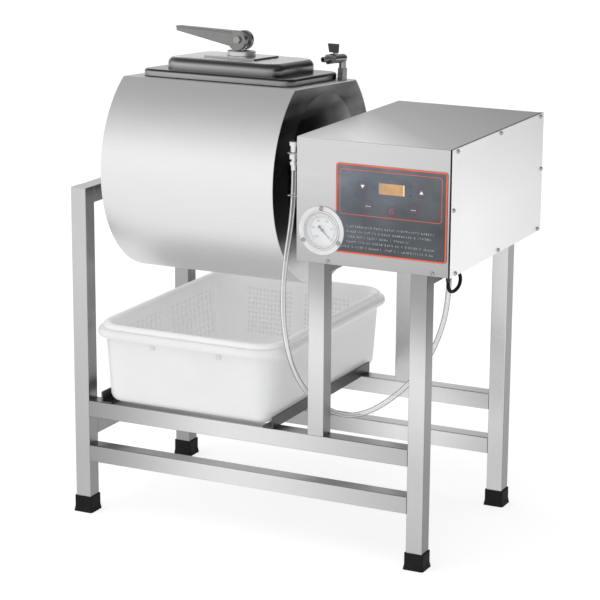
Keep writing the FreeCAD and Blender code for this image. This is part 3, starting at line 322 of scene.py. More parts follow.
def pressed_sheet(name):
    """The lid's polished pressing. Its colour is painted reflection and shade: pale on its flats,
    darker where it rolls over its edges, and darker again towards its right end, on its end faces
    and about its flange's top and its crown's foot.
    """
    m = Maker(name)
    lines = m.noise(1200, ALONG_X, 3.0, 0.6)
    # painted reflection and shade, by how each surface is turned and where it stands
    painted_reflection = m.ramp(m.facing("Z"), (
        (0.0, 0.36), (0.3, 0.3), (0.65, 0.1), (0.9, 0.2), (0.99, 0.95)))
    height = m.ramp(m.along((0, 0.06, 0.998), 0.772, 0.806), (
        (0.0, 0.9), (0.2, 0.95), (0.33, 0.42), (0.44, 0.5), (0.62, 0.95), (0.9, 1.0)))
    for factor in (m.spread(m.along(RIGHT, -0.2, 0.02), 1.0, 0.72, 0, 1),
                   m.spread(m.facing("X"), 1.0, 0.7, 0.2, 0.9), height,
                   m.spread(lines, 0.95, 1.0)):
        painted_reflection = m.times(painted_reflection, factor)
    m.colour(painted_reflection)
    m.set(Metallic=1.0, Roughness=0.23)
    return m.bump((m.noise(5.5, EVEN, 1.0), 0.004, 0.03), edge=0.0008)


def end_sheet(name):
    """The drum's polished ends: plain steel at the far end; at the end by the housing, painted
    reflections, near black with smoky painted highlights high up and a pale foot."""
    m = Maker(name)
    smoke = m.noise(7, (1, 0.8, 2.2), 2.0, 0.6)
    # painted reflections at the end by the housing: a pale foot, near black above it, and smoky
    # painted highlights high up
    low = m.ramp(m.along(UP, 0.42, 0.82), (
        (0.0, 0.62), (0.12, 0.5), (0.22, 0.1), (0.34, 0.03), (0.7, 0.022), (1.0, 0.04)))
    high = m.ramp(m.along(UP, 0.62, 0.82), ((0.0, 0.0), (0.4, 0.28), (0.7, 0.28), (1.0, 0.06)))
    high = m.times(m.ramp(smoke, ((0.42, 0.02), (0.66, 0.4))), high)
    painted_dark_end = m.blend(1.0, low, high, "ADD")
    m.colour(m.blend(m.along(RIGHT, -0.2, -0.1), (0.42, 0.42, 0.425, 1), painted_dark_end))
    m.set(Metallic=1.0)
    m.rough(m.spread(smoke, 0.18, 0.28))
    return m.bump((m.noise(5.5, EVEN, 1.0), 0.004, 0.3))


def cast(name, colour, rough, metallic=1.0):
    """A cast or blasted metal with a fine pebbled skin."""
    m = Maker(name)
    grains = m.noise(700, EVEN, 3.0, 0.7)
    broad = m.noise(40)
    dark = tuple(c * 0.8 for c in colour)
    m.colour(m.mixed(broad, dark, colour))
    m.set(Metallic=metallic)
    m.rough(m.spread(broad, rough * 0.8, rough * 1.2))
    return m.bump((grains, 0.0002, 0.35), edge=0.0012)


def bright(name, shade, rough):
    """Turned or plated metal with faint handling marks."""
    m = Maker(name)
    marks = m.noise(160, EVEN, 3.0)
    m.colour(m.mixed(marks, (shade * 0.92,) * 3, (shade,) * 3))
    m.set(Metallic=1.0)
    m.rough(m.spread(marks, rough * 0.7, rough * 1.5))
    return m.bump((marks, 0.00005, 0.2), edge=0.0004)


def moulded(name, colour, rough, grain=0.0002, edge=0.0008, shine=0.5):
    """Moulded rubber or plastic with a fine grain and slightly uneven gloss."""
    m = Maker(name)
    m.set(Specular_IOR_Level=shine)
    fine = m.noise(1400)
    broad = m.noise(30)
    pale = tuple(min(1.0, c * 1.15 + 0.004) for c in colour)
    m.colour(m.mixed(broad, colour, pale))
    m.rough(m.spread(broad, rough * 0.88, rough * 1.12))
    return m.bump((fine, grain, 0.3), edge=edge)


def printed(name, colour, rough=0.35):
    """Flat ink or film with hardly any relief."""
    return moulded(name, colour, rough, 0.00002, 0.0)


def milky(name, painted_glow):
    """White polypropylene, with a painted, even emission standing in for the light that soaks
    through its thin walls.
    """
    m = Maker(name)
    broad = m.noise(14)
    m.colour(m.mixed(broad, (0.50, 0.503, 0.507), (0.53, 0.531, 0.533)))
    m.set(Emission_Color=(1, 1, 1, 1), Emission_Strength=painted_glow, Specular_IOR_Level=0.35, IOR=1.49)
    m.rough(m.spread(broad, 0.28, 0.4))
    return m.bump((m.noise(500), 0.0001, 0.2))


def clear_tube(name):
    """Clear soft tube: see-through in its middle and denser towards its edges, with a painted
    highlight in its colour.
    """
    m = Maker(name)
    haze = m.noise(60)
    facing = m.node("ShaderNodeLayerWeight").outputs["Facing"]
    # painted highlight: a bright band in the colour just off the middle, between it and the grey
    # edges
    wall = m.ramp(facing, (
        (0.0, 0.6), (0.05, 0.6), (0.12, 0.95), (0.28, 0.95), (0.42, 0.3), (1.0, 0.3)))
    density = m.ramp(facing, (
        (0.0, 0.22), (0.05, 0.2), (0.12, 0.6), (0.28, 0.65), (0.42, 0.75), (1.0, 0.7)))
    m.colour(m.times(wall, m.spread(haze, 0.92, 1.0)))
    m.link(density, m.shader.inputs["Alpha"])
    m.set(Roughness=0.1, IOR=1.45, Specular_IOR_Level=0.3)
    return m.bump((haze, 0.0001, 0.1))


def glass(name, tint, alpha):
    """A thin pane with faint smears."""
    m = Maker(name)
    smear = m.noise(90)
    m.set(Base_Color=(*tint, 1), IOR=1.5, Alpha=alpha)
    m.rough(m.spread(smear, 0.02, 0.07))
    return m.bump((smear, 0.00002, 0.1))


def lit(name, colour, strength):
    """A lamp-lit window: its colour varies a little and glows."""
    m = Maker(name)
    cloud = m.noise(60)
    dim = tuple(c * 0.82 for c in colour)
    shade = m.mixed(cloud, dim, colour)
    m.colour(shade)
    m.link(shade, m.shader.inputs["Emission Color"])
    m.set(Emission_Strength=strength, Roughness=0.25)
    return m.bump((cloud, 0.00002, 0.1))


def film(name):
    """Slate film under a glossy skin, bonded over sheet metal that is not quite flat."""
    m = Maker(name)
    cloud = m.noise(18, (1, 1, 1.4), 3.0)
    slate_with_painted_light = m.mixed(cloud, (0.045, 0.054, 0.068), (0.085, 0.098, 0.118), 0.3, 0.7)
    # painted light: the slate is lighter towards its upper left
    slate_with_painted_light = m.times(slate_with_painted_light, m.spread(m.along((-0.45, 0, 0.9), 0.38, 0.6), 0.6, 2.3, 0, 1))
    m.colour(slate_with_painted_light)
    m.set(IOR=1.5, Coat_Weight=0.25, Coat_Roughness=0.12)
    m.rough(m.spread(cloud, 0.26, 0.38))
    return m.bump((m.noise(12, EVEN, 1.0), 0.003, 0.3), (m.noise(900), 0.00004, 0.2))


# the shade factors below are painted light and shade on the legs and rails, darker or lighter where
# light and reflections fall on them
rail_painted_grades = ((RIGHT, -0.3, 0.05, 0.9, 1.12), (RIGHT, 0.05, 0.33, 1.0, 0.82))
mats = {
    "leg": brushed("leg_steel", 0.5, 0.28, ALONG_Z, faces=("X", 0.5, 0.9, 0.59),
                   painted_grades=((UP, 0.1, 0.45, 0.9, 1.12), (REAR, -0.1, 0.2, 1.0, 1.16)),
                   painted_band=(UP, 0.0, 0.5, ((0.0, 1.0), (1.0, 1.0)), 0.62)),
    "drive_leg": brushed("drive_leg_steel", 0.69, 0.28, ALONG_Z, faces=("X", 0.5, 0.9, 0.4),
                         painted_grades=((UP, 0.1, 0.45, 0.9, 1.1), (REAR, -0.1, 0.2, 1.0, 1.14)),
                         painted_band=((0.25, 0, 1), 0.1, 0.58, (
                             (0.03, 0.79), (0.17, 0.84), (0.31, 0.83), (0.42, 0.9), (0.5, 0.96),
                             (0.58, 1.0), (0.65, 0.98), (0.72, 0.88), (0.77, 0.75), (0.81, 0.64),
                             (0.85, 0.55), (0.92, 0.45), (1.0, 0.42)), 0.87)),
    "rail": brushed("rail_steel", 0.68, 0.28, ALONG_X, faces=("Z", 0.5, 0.9, 0.8),
                    painted_grades=rail_painted_grades,
                    painted_band=(RIGHT, -0.33, 0.33, (
                        (0.01, 0.5), (0.09, 0.59), (0.17, 0.72), (0.25, 0.85), (0.33, 0.965),
                        (0.41, 1.0), (0.49, 0.965), (0.57, 0.9), (0.65, 0.85), (0.78, 0.78),
                        (0.93, 0.72)), 0.88)),
    "rear_rail": brushed("rear_rail_steel", 0.72, 0.28, ALONG_X, faces=("Z", 0.5, 0.9, 0.8),
                         painted_grades=rail_painted_grades + ((RIGHT, -0.02, 0.11, 0.52, 1.0),
                                               (RIGHT, 0.2, 0.3, 1.0, 0.78))),
    "drum": brushed("drum_steel", 0.76, 0.47, ALONG_X, edge=0.0),
    "mirror": end_sheet("drum_end_steel"),
    "housing": folded_sheet("housing_steel"),
    # painted shade: the side cover darkens towards its rear and its top
    "cover": brushed("cover_steel", 0.80, 0.32, ALONG_Y,
                     painted_grades=(((0, 1, 0.6), 0.2, 0.62, 1.08, 0.84), (UP, 0.6, 0.7, 1.0, 0.9))),
    "lid": pressed_sheet("lid_steel"),
    "runner": brushed("runner_steel", 0.095, 0.33, ALONG_Y, 0.02),
    "inner": brushed("inner_steel", 0.55, 0.3, ALONG_X),
    "lever": cast("cast_lever", (0.25, 0.25, 0.245), 0.36),
    "boss": cast("cast_boss", (0.66, 0.66, 0.65), 0.4),
    "iron": cast("bearing_paint", (0.2, 0.21, 0.22), 0.45, 0.2),
    "alloy": cast("drive_alloy", (0.5, 0.5, 0.51), 0.4),
    "paint": moulded("motor_paint", (0.05, 0.09, 0.15), 0.35),
    "chrome": bright("bright_steel", 0.5, 0.14),
    "fitting": bright("fitting_metal", 0.74, 0.2),
    "dark_chrome": bright("valve_metal", 0.3, 0.2),
    "screw": bright("screw_metal", 0.45, 0.07),
    "rubber": moulded("black_rubber", (0.008, 0.008, 0.009), 0.6, shine=0.08),
    "plastic": moulded("black_plastic", (0.016, 0.016, 0.017), 0.38),
    "board": moulded("board_green", (0.01, 0.09, 0.03), 0.3),
    "pipe": moulded("red_pipe", (0.4, 0.03, 0.02), 0.35),
    "enamel": moulded("white_enamel", (0.60, 0.60, 0.605), 0.3, 0.00003),
    # painted emission on the tub, nubs and basket: the number is its strength
    "tub": milky("tub_plastic", 0.21),
    "nub": milky("nub_plastic", 0.13),
    "basket": milky("basket_plastic", 0.27),
    "hose": clear_tube("clear_tube"),
    "glass": glass("gauge_glass", (0.95, 0.96, 0.97), 0.16),
    "film": film("panel_film"),
    "button": film("button_film"),
    "amber": lit("amber_window", (0.52, 0.3, 0.14), 0.2),
    "window_light": lit("window_edge", (0.95, 0.7, 0.35), 0.3),
    "window_dark": printed("window_shade", (0.34, 0.28, 0.21), 0.3),
    "digits": printed("window_digits", (0.45, 0.24, 0.105), 0.4),
    "lamp": printed("lamp_print", (0.07, 0.05, 0.06)),
    "orange": printed("orange_print", (0.72, 0.085, 0.012)),
    "red": printed("dark_red_print", (0.22, 0.02, 0.03)),
    "red_bright": printed("red_print", (0.5, 0.03, 0.03)),
    "pale": printed("pale_print", (0.44, 0.46, 0.49), 0.4),
    "white": printed("white_print", (0.85, 0.86, 0.88), 0.4),
    "grey": printed("grey_print", (0.34, 0.35, 0.37), 0.4),
    "dial": printed("dial_print", (0.64, 0.645, 0.66), 0.5),
    "scale": printed("scale_print", (0.08, 0.085, 0.1), 0.45),
    "black": printed("black_print", (0.02, 0.02, 0.022), 0.45),
}
finish = {
    "left_end_frame": "leg", "drive_bay_frame": "drive_leg", "front_rails": "rail",
    "rear_rails": "rear_rail", "rubber_feet": "rubber", "tub_runners": "runner",
    "bearing_block": "iron", "bearing_bolts": "screw", "bearing_insert": "chrome",
    "drum_shell": "drum", "hatch_frame": "inner", "drum_ends": "mirror", "stub_axle": "chrome",
    "mixing_ribs": "inner", "lid": "lid", "lid_seal": "rubber", "lid_plate": "lid",
    "clamp_boss": "boss", "clamp_rod": "chrome", "clamp_bar": "inner", "clamp_lever": "lever",
    "lever_pin": "dark_chrome", "valve_body": "dark_chrome", "valve_handle": "plastic",
    "drive_shaft": "chrome", "drive_bracket": "inner", "drive_bearing": "iron", "gearbox": "alloy",
    "drive_motor": "paint", "vacuum_pump": "alloy", "vacuum_line": "pipe", "base_plate": "inner",
    "base_pads": "rubber", "housing": "housing", "side_cover": "cover", "cover_gasket": "rubber",
    "housing_screws": "screw", "control_panel": "film", "display_lenses": "amber",
    "control_board": "board", "gauge_case": "enamel", "gauge_dial": "dial", "gauge_lens": "glass",
    "gauge_needle": "black", "hose_fitting": "fitting", "hose_hooks": "screw",
    "hose_coupler": "fitting", "lead_gland": "plastic", "lead_clips": "chrome",
    "mains_plug": "plastic", "button_down": "button", "button_up": "button",
    "button_mode": "button", "button_power": "button", "button_set": "button", "catch_tub": "tub",
    "drain_basket": "basket",
}


def dress(piece, material):
    """One material all over a piece or a CAD node."""
    piece.data.materials.clear()
    piece.data.materials.append(material)


for name, key in finish.items():
    dress(nodes[name], mats[key])
dress(hose, mats["hose"])
dress(lead, mats["rubber"])


# ------------------------------------------------------------------------------ mesh builders
def add_mesh(name, points, faces, material, body, smooth=True):
    """A piece of the scene from points in metres, riding on a body of the frame."""
    mesh = bpy.data.meshes.new(name)
    mesh.from_pydata([tuple(p) for p in points], [], faces)
    mesh.validate()
    piece = add_object(name, mesh)
    dress(piece, material)
    for polygon in mesh.polygons:
        polygon.use_smooth = smooth
    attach(piece, body)
    return piece


def rounded_columns(hx, hy, corner, step, corner_steps):
    """Points round a rectangle with round corners, each with its outward direction and side."""
    columns = []
    for side, (sx, sy) in enumerate(((1, -1), (1, 1), (-1, 1), (-1, -1))):
        centre = Vector((sx * (hx - corner), sy * (hy - corner)))
        first = math.radians(-90 + 90 * side)
        for k in range(corner_steps + 1):
            a = first + math.radians(90) * k / corner_steps
            out = Vector((math.cos(a), math.sin(a)))
            columns.append((centre + out * corner, out, "corner"))
        nx, ny = ((1, 1), (-1, 1), (-1, -1), (1, -1))[side]
        far = Vector((nx * (hx - corner), ny * (hy - corner)))
        a = first + math.radians(90)
        out = Vector((math.cos(a), math.sin(a)))
        start, end = centre + out * corner, far + out * corner
        count = max(1, round((end - start).length / step))
        for k in range(1, count):
            columns.append((start.lerp(end, k / count), out, "side"))
    return columns


def shell(columns, rows, keep=lambda column, row: True):
    """Rings of points, one per (outward offset, height) row, joined by quads that are kept."""
    points, faces = [], []
    for offset, z in rows:
        points += [Vector((*(p + out * offset), z)) for p, out, _ in columns]
    n = len(columns)
    for r in range(len(rows) - 1):
        for c in range(n):
            if keep(c, r):
                d = (c + 1) % n
                faces.append((r * n + c, r * n + d, (r + 1) * n + d, (r + 1) * n + c))
    return points, faces


# ------------------------------------------------------------------------------ tub and basket
tub_low, tub_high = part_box("catch_tub")
tub_middle = (tub_low + tub_high) / 2
tub_place = Vector((tub_middle.x, tub_middle.y, tub_low.z))


def in_tub(points):
    return [p * MM + tub_place for p in points]


def make_tub():
    """A thin tub with a rolled rim: one skin, up its outside and down its inside."""
    height, flare, wall_thickness = 135, 9.0, 2.5

    def wall(z, inset=0.0):
        return flare * z / height - inset

    outer = [(-17, 0), (-10.5, 0.9), (-5.2, 3.2), (-1.8, 7.2), (0.5, 13)]
    outer += [(wall(z), z) for z in (30, 60, 90, 110)]
    outer += [(8.6, 116), (10.2, 118.4), (13.5, 119.4), (17.5, 119.8), (20.2, 121.2), (21.7, 124),
              (22, 127.5), (21.5, 130.8), (19.7, 133.6), (16.5, 134.9), (12.5, 135), (8.6, 134.2),
              (6.7, 132)]
    inner = [(wall(z, wall_thickness), z) for z in (126, 100, 70, 40, 14)]
    inner += [(-4.2, 8), (-7.5, 4.6), (-12, 2.9), (-18, 2.5)]
    columns = rounded_columns(163, 223, corner=30, step=14, corner_steps=10)
    points, faces = shell(columns, outer + inner)
    n = len(columns)
    faces += [tuple(reversed(range(n))), tuple(range(len(points) - n, len(points)))]
    return add_mesh("tub", in_tub(points), faces, mats["tub"], "tub")


def make_basket():
    """A basket of thin walls: slits in its long sides, small holes in its ends, a slotted floor."""
    foot, flare, height, row_pitch = 12, 10.5, 130, 4.5
    lower = [(-13, foot), (-7.5, 12.9), (-3.4, 15.4), (-0.8, 19)]
    levels = [foot + row_pitch * k for k in range(2, 27)]
    rim_rows = [(10.2, 134), (10.6, 137.2), (11.9, 140.2), (14, 141.9), (16.5, 142.3), (19, 141.9),
                (21.2, 140.3), (22.3, 137.9), (22.4, 135.6)]
    rows = lower + [(flare * (z - foot) / height, z) for z in levels] + rim_rows
    columns = rounded_columns(154.5, 214.5, corner=27, step=4.0, corner_steps=8)
    n = len(columns)

    def on_end(out):
        return abs(out.y) > 0.9

    rib_half, rib_depth = 2.2, 1.4
    ribbed = []
    for place, out, kind in columns:
        along, reach = (place.x, 120) if on_end(out) else (place.y, 176)
        rib = kind == "side" and (abs(abs(along) - reach) < rib_half or abs(along) < rib_half)
        ribbed.append((place - out * (rib_depth if rib else 0.0), out, kind))

    first_row, end_row, bridge_half = 2, 22, 12

    def keep(c, r):
        """False for the faces that are holes and slits, in two fields on each side."""
        place, out, kind = columns[c]
        r -= len(lower)
        if kind != "side" or columns[(c + 1) % n][2] != "side" or not first_row <= r < end_row:
            return True
        along, reach = (place.x, 108) if on_end(out) else (place.y, 164)
        if not bridge_half < abs(along) < reach:
            return True
        if on_end(out):
            return c % 2 == 1 or r % 2 == 1
        return c % 4 != 0 or r % 3 == 2

    points, faces = shell(ribbed, rows, keep)
    mesh = bmesh.new()
    corners = [mesh.verts.new(p) for p in points]
    for face in faces:
        mesh.faces.new([corners[i] for i in face])
    ring = [mesh.edges.get((corners[i], corners[(i + 1) % n])) for i in range(n)]
    slot = ((-22, -1.5), (-19.5, -4), (19.5, -4), (22, -1.5), (22, 1.5), (19.5, 4), (-19.5, 4),
            (-22, 1.5))
    slot_pitch_x, slot_pitch_y = 62, 24
    slots = []
    for row in (-1.5, -0.5, 0.5, 1.5):
        for k in range(-7, 8):
            loop = [mesh.verts.new((row * slot_pitch_x + x, k * slot_pitch_y + y, foot))
                    for x, y in slot]
            slots += [mesh.edges.new((loop[i], loop[(i + 1) % 8])) for i in range(8)]
    bmesh.ops.triangle_fill(mesh, edges=ring + slots, use_beauty=True, normal=(0, 0, -1))
    for vert in mesh.verts:
        vert.co = vert.co * MM + tub_place
    data = bpy.data.meshes.new("basket")
    mesh.to_mesh(data)
    mesh.free()
    for polygon in data.polygons:
        polygon.use_smooth = True
    basket = add_object("basket", data)
    dress(basket, mats["basket"])
    solidify = basket.modifiers.new("thickness", "SOLIDIFY")
    solidify.thickness = 0.002
    solidify.offset = -1.0
    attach(basket, "basket")
    return basket


def make_nubs():
    """Two small moulded feet under the front rim, on which stacked tubs rest."""
    wall_y, level = -229.6, 113
    back_y, front_y = wall_y + 2, wall_y - 4.2
    outline = ((-4, -4), (-3, -5), (3, -5), (4, -4), (4, 5), (-4, 5))
    n = len(outline)
    points, faces = [], []
    for x in (-62, 68):
        start = len(points)
        points += [Vector((x + dx, y, level + dz)) for y in (back_y, front_y) for dx, dz in outline]
        faces += [(start + i, start + (i + 1) % n, start + n + (i + 1) % n, start + n + i)
                  for i in range(n)]
        faces.append(tuple(range(start + n, start + 2 * n)))
    return add_mesh("tub_nubs", in_tub(points), faces, mats["nub"], "tub", smooth=False)


make_nubs()
tub = make_tub()
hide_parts("catch_tub")
basket = make_basket()
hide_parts("drain_basket")


# ---------------------------------------------------------------------------- flat print work
def flat_shapes(name, polygons, y, material, body):
    """Flat outlines in the X and Z of the front face, as one thin piece at depth y."""
    points, faces = [], []
    for polygon in polygons:
        start = len(points)
        points += [at(x, y, z) for x, z in polygon]
        faces.append(tuple(range(start, len(points))))
    return add_mesh(name, points, faces, material, body, smooth=False)


def rounded_loop(x0, x1, z0, z1, corner, steps=6):
    """A rectangle's outline with round corners."""
    loop = []
    for cx, cz, first in ((x1 - corner, z0 + corner, -90), (x1 - corner, z1 - corner, 0),
                          (x0 + corner, z1 - corner, 90), (x0 + corner, z0 + corner, 180)):
        for k in range(steps + 1):
            a = math.radians(first + 90 * k / steps)
            loop.append((cx + corner * math.cos(a), cz + corner * math.sin(a)))
    return loop


def frame_strips(x0, x1, z0, z1, corner, width):
    """A rounded frame of one line width, as quads."""
    outer = rounded_loop(x0, x1, z0, z1, corner)
    inner = rounded_loop(x0 + width, x1 - width, z0 + width, z1 - width, max(0.1, corner - width))
    n = len(outer)
    return [[outer[i], outer[(i + 1) % n], inner[(i + 1) % n], inner[i]] for i in range(n)]


def bar(x0, x1, z0, z1):
    return [(x0, z0), (x1, z0), (x1, z1), (x0, z1)]


def arc_strips(cx, cz, radius, width, start, end, steps):
    """An arc of one line width from start to end degrees, as quads."""
    outer = radius + width
    strips = []
    for k in range(steps):
        a, b = (math.radians(start + (end - start) * j / steps) for j in (k, k + 1))
        strips.append([(cx + r * math.cos(t), cz + r * math.sin(t))
                       for r, t in ((radius, a), (radius, b), (outer, b), (outer, a))])
    return strips


def sliced(quad, parts):
    """A long quad cut across into equal parts."""
    (ax, az), (bx, bz), (cx, cz), (dx, dz) = quad
    slices = []
    for k in range(parts):
        s, t = k / parts, (k + 1) / parts
        slices.append([(ax + (bx - ax) * s, az + (bz - az) * s),
                       (ax + (bx - ax) * t, az + (bz - az) * t),
                       (dx + (cx - dx) * t, dz + (cz - dz) * t),
                       (dx + (cx - dx) * s, dz + (cz - dz) * s)])
    return slices


# ------------------------------------------------------------------------------- control panel
# all in millimetres from the steel frame's middle; a face is a depth in Y
panel_face = -201.9
print_face = panel_face - 0.06
gauge_x, gauge_z = 147.8, 566.3
flange_radius = 42.3                    # print nearer to the gauge than this is left out
buttons = {"button_down": (221.8, 647.6), "button_up": (325.8, 646.5),
           "button_mode": (232.0, 617.0), "button_power": (274.0, 611.5),
           "button_set": (312.4, 618.0)}


def keep_off_gauge(strips):
    """Drops what the gauge's flange would cover."""
    return [strip for strip in strips
            if all(math.hypot(x - gauge_x, z - gauge_z) > flange_radius for x, z in strip)]


def button_mark(button, name, shapes, key):
    """A sign on a button, from outlines about the button's middle."""
    x, z = buttons[button]
    moved = [[(x + dx, z + dz) for dx, dz in shape] for shape in shapes]
    flat_shapes(name, moved, print_face, mats[key], button)


def panel_print():
    """The panel's border and inner frame, and the signs of its buttons."""
    border = frame_strips(174.2, 370.8, 533.7, 682.8, corner=5.0, width=2.3)
    border = [part for quad in border for part in sliced(quad, 24)]
    inner = frame_strips(181, 362, 598.7, 674, corner=6.0, width=0.8)
    flat_shapes("panel_border", keep_off_gauge(border), print_face, mats["orange"], "root")
    flat_shapes("panel_inner_frame", inner, print_face, mats["orange"], "root")
    outline = frame_strips(-7.2, 7.2, -7.2, 7.2, corner=2.0, width=0.5)
    for name in buttons:
        button_mark(name, name + "_outline", outline, "red")
    button_mark("button_down", "down_mark", [[(-3.3, 2.2), (0, -3.2), (3.3, 2.2)]], "white")
    button_mark("button_up", "up_mark", [[(-3.3, -2.6), (3.3, -2.6), (0, 2.9)]], "white")
    ring = arc_strips(0, -0.6, radius=3.2, width=0.7, start=125, end=415, steps=24)
    button_mark("button_power", "power_mark", ring + [bar(-0.35, 0.35, 0.6, 4.2)], "red_bright")
    dashes = [bar(x0, x1, -2.2, -1.0) for x0, x1 in ((-4.6, -1.8), (-1.2, 1.4), (2.0, 4.6))]
    for name in ("button_mode", "button_set"):
        button_mark(name, name + "_mark", dashes, "pale")


def text_rows():
    """Rows of small meaningless dashes where a machine of this kind carries its instructions."""
    top, pitch = 577.5, 8.6
    cell_width, cell_height = 3.0, 3.7
    strokes = ((2.7, 0.6), (0.65, 3.4), (1.7, 0.6), (0.65, 1.9))
    random.seed(11)
    marks = []
    for row, (x0, x1) in enumerate(((193, 352), (194, 342), (194, 303), (193, 350), (184, 345))):
        z = top - pitch * row
        x = x0
        while x < x1:
            for _ in range(random.randint(3, 4)):
                w, h = random.choice(strokes)
                dx, dz = random.uniform(0, cell_width - w), random.uniform(0, cell_height - h)
                marks.append(bar(x + dx, x + dx + w, z + dz, z + dz + h))
            x += random.choice((3.9, 3.9, 4.1, 6.6))
    flat_shapes("instruction_dashes", keep_off_gauge(marks), print_face, mats["grey"], "root")


# the lenses are the window and, at its right, two lamps of which the upper one stands highest
lens_low, lens_high = ((corner - shift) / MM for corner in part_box("display_lenses"))
lamp_x, lamp_z = lens_high.x - 2.0, lens_high.z - 2.0
window_x, window_z = lens_low.x + 22.8, lamp_z - 8.7


def lamp_print():
    """Dark caps on the two unlit lamps beside the window."""
    radius, spacing, corners = 2.2, 16.0, 16
    turns = [2 * math.pi * k / corners for k in range(corners)]
    caps = [[(lamp_x + radius * math.cos(a), z + radius * math.sin(a)) for a in turns]
            for z in (lamp_z, lamp_z - spacing)]
    flat_shapes("lamp_caps", caps, lens_low.y - 0.05, mats["lamp"], "root")


def window_print():
    """A back-lit counter window with its digits barely showing."""
    x, z = window_x, window_z
    strokes = ((-2.6, 2.6, 4.6, 5.3), (-2.6, 2.6, -0.4, 0.4), (-2.6, 2.6, -5.3, -4.6),
               (-3.0, -2.3, 0.6, 4.6), (2.3, 3.0, 0.6, 4.6), (-3.0, -2.3, -4.6, -0.6),
               (2.3, 3.0, -4.6, -0.6))
    digits = [bar(x + digit_x + a, x + digit_x + b, z + c, z + d)
              for digit_x in (-15, -5, 5, 15) for a, b, c, d in strokes]
    flat_shapes("window_digits", digits, panel_face + 0.24, mats["digits"], "root")
    half_height = 9.0
    for name, x0, x1, key in (("window_shade", -22.6, -17.0, "window_dark"),
                              ("window_edge", 20.9, 22.6, "window_light")):
        strip = bar(x + x0, x + x1, z - half_height, z + half_height)
        flat_shapes(name, [strip], panel_face + 0.25, mats[key], "root")


lamp_print()
panel_print()
text_rows()
window_print()


# --------------------------------------------------------------------------------------- gauge
def gauge_print():
    """Scale of a vacuum gauge: ticks round three quarters of the dial and plain numbers."""
    dial_face = -196.3
    y = dial_face - 0.08
    first, sweep = -45, 270                 # degrees, from the right and anticlockwise
    scale_radius, tick_radius, number_radius = 21.6, 21.7, 16.6
    centre = Vector((gauge_x, gauge_z))
    strips = arc_strips(gauge_x, gauge_z, scale_radius, width=0.35, start=first,
                        end=first + sweep, steps=60)
    for k in range(51):
        a = math.radians(first + sweep * k / 50)
        tip = tick_radius + (4.2 if k % 10 == 0 else (3.0 if k % 5 == 0 else 1.9))
        half = 0.34 if k % 10 == 0 else 0.22
        out, side = Vector((math.cos(a), math.sin(a))), Vector((-math.sin(a), math.cos(a)))
        strips.append([tuple(centre + out * r + side * s) for r, s in
                       ((tick_radius, -half), (tip, -half), (tip, half), (tick_radius, half))])
    flat_shapes("dial_scale", strips, y, mats["scale"], "root")
    build = bmesh.new()
    for k in range(6):
        a = math.radians(first + sweep * k / 5)
        text = bpy.data.curves.new("number", "FONT")
        text.body = str(20 * k)
        text.size = 0.0058
        text.align_x = text.align_y = "CENTER"
        number = add_object("number", text)
        mesh = bpy.data.meshes.new_from_object(number)
        bpy.data.objects.remove(number)
        place = at(gauge_x + number_radius * math.cos(a), y, gauge_z + number_radius * math.sin(a))
        mesh.transform(Matrix.Translation(place) @ Matrix.Rotation(math.radians(90), 4, "X"))
        build.from_mesh(mesh)
    data = bpy.data.meshes.new("dial_numbers")
    build.to_mesh(data)
    build.free()
    numbers = add_object("dial_numbers", data)
    dress(numbers, mats["scale"])
    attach(numbers, "root")


def bezel_print():
    """Fine rings at the edges of the gauge's bezel and flange: a dark line on the bezel, and grey
    rings of painted shade along the edges.
    """
    bezel_face, flange_face = -203.96, -202.36

    def rings(width, *radii):
        return [strip for radius in radii
                for strip in arc_strips(gauge_x, gauge_z, radius, width, 0, 360, 72)]

    flat_shapes("bezel_line", rings(0.7, 30.1), bezel_face, mats["scale"], "root")
    flat_shapes("bezel_shade", rings(0.6, 33.05, 40.9), flange_face, mats["grey"], "root")


gauge_print()
bezel_print()


# --------------------------------------------------------------------------- floor and lights
def add_floor():
    """A pale studio sweep, lit a little from within as a light table is."""
    m = Maker("floor_paint")
    cloud = m.noise(0.8)
    m.colour(m.mixed(cloud, (0.34, 0.34, 0.34), (0.36, 0.36, 0.36)))
    m.set(Roughness=0.9, Specular_IOR_Level=0.0)
    m.set(Emission_Color=(1, 1, 1, 1), Emission_Strength=0.74)
    reach, drop = 30, 0.0005                # metres
    mesh = bpy.data.meshes.new("floor")
    mesh.from_pydata([(-reach, -reach, 0), (reach, -reach, 0), (reach, reach, 0),
                      (-reach, reach, 0)], [], [(0, 1, 2, 3)])
    floor = add_object("floor", mesh)
    floor.location.z = -drop
    dress(floor, m.material)


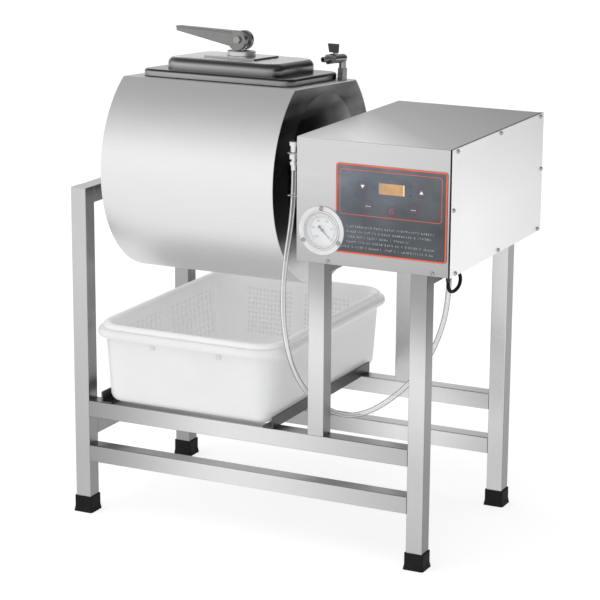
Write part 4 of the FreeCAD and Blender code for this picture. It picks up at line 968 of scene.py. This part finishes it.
class Sky:
    """Nodes of the surroundings, worked out from the direction looked in."""

    def __init__(self):
        world = bpy.data.worlds.new("studio")
        bpy.context.scene.world = world
        world.use_nodes = True
        self.tree = world.node_tree
        place = self.tree.nodes.new("ShaderNodeTexCoord")
        split = self.tree.nodes.new("ShaderNodeSeparateXYZ")
        self.tree.links.new(place.outputs["Generated"], split.inputs[0])
        self.x, self.y, self.z = split.outputs

    def ramp(self, value, stops):
        node = self.tree.nodes.new("ShaderNodeValToRGB")
        self.tree.links.new(value, node.inputs["Fac"])
        set_stops(node, stops)
        return node.outputs["Color"]

    def smooth(self, value, start, end):
        node = self.tree.nodes.new("ShaderNodeMapRange")
        node.interpolation_type = "SMOOTHSTEP"
        node.inputs["From Min"].default_value = start
        node.inputs["From Max"].default_value = end
        self.tree.links.new(value, node.inputs["Value"])
        return node.outputs["Result"]

    def math(self, operation, a, b):
        node = self.tree.nodes.new("ShaderNodeMath")
        node.operation = operation
        for socket, value in zip(node.inputs, (a, b)):
            if isinstance(value, (int, float)):
                socket.default_value = value
            else:
                self.tree.links.new(value, socket)
        return node.outputs[0]

    def mix(self, factor, a, b):
        node = self.tree.nodes.new("ShaderNodeMix")
        node.data_type = "RGBA"
        self.tree.links.new(factor, node.inputs["Factor"])
        self.tree.links.new(a, node.inputs["A"])
        self.tree.links.new(b, node.inputs["B"])
        return node.outputs["Result"]


def add_world():
    """Pale walls in front, a darker room behind, a dark corner at the right rear, grey overhead."""
    sky = Sky()
    front = sky.ramp(sky.z, ((0.0, 0.95), (0.22, 0.92), (0.45, 0.68), (0.66, 0.41), (0.8, 0.3),
                             (1.0, 0.28)))
    back = sky.ramp(sky.z, ((0.0, 0.22), (0.05, 0.32), (0.1, 0.6), (0.25, 0.6), (0.45, 0.5),
                            (0.8, 0.31), (1.0, 0.28)))
    dark = sky.ramp(sky.z, ((0.0, 0.034), (0.3, 0.05), (0.6, 0.25), (1.0, 0.28)))
    room = sky.mix(sky.smooth(sky.y, -0.4, 0.25), front, back)
    corner = sky.math("ADD", sky.math("MULTIPLY", sky.x, 0.9), sky.math("MULTIPLY", sky.y, 0.43))
    room = sky.mix(sky.smooth(corner, 0.35, 0.72), room, dark)
    background = sky.tree.nodes["Background"]
    background.inputs["Strength"].default_value = 1.5
    sky.tree.links.new(room, background.inputs["Color"])


def add_sun():
    """A broad soft light from above that the bare metal doesn't mirror."""
    data = bpy.data.lights.new("overhead", "SUN")
    data.energy = 1.5
    data.angle = math.radians(80)
    lamp = add_object("overhead", data)
    lamp.rotation_euler = (math.radians(20), math.radians(-12), 0)
    lamp.visible_glossy = False


add_floor()
add_world()
add_sun()
bpy.context.scene.view_settings.view_transform = "Standard"
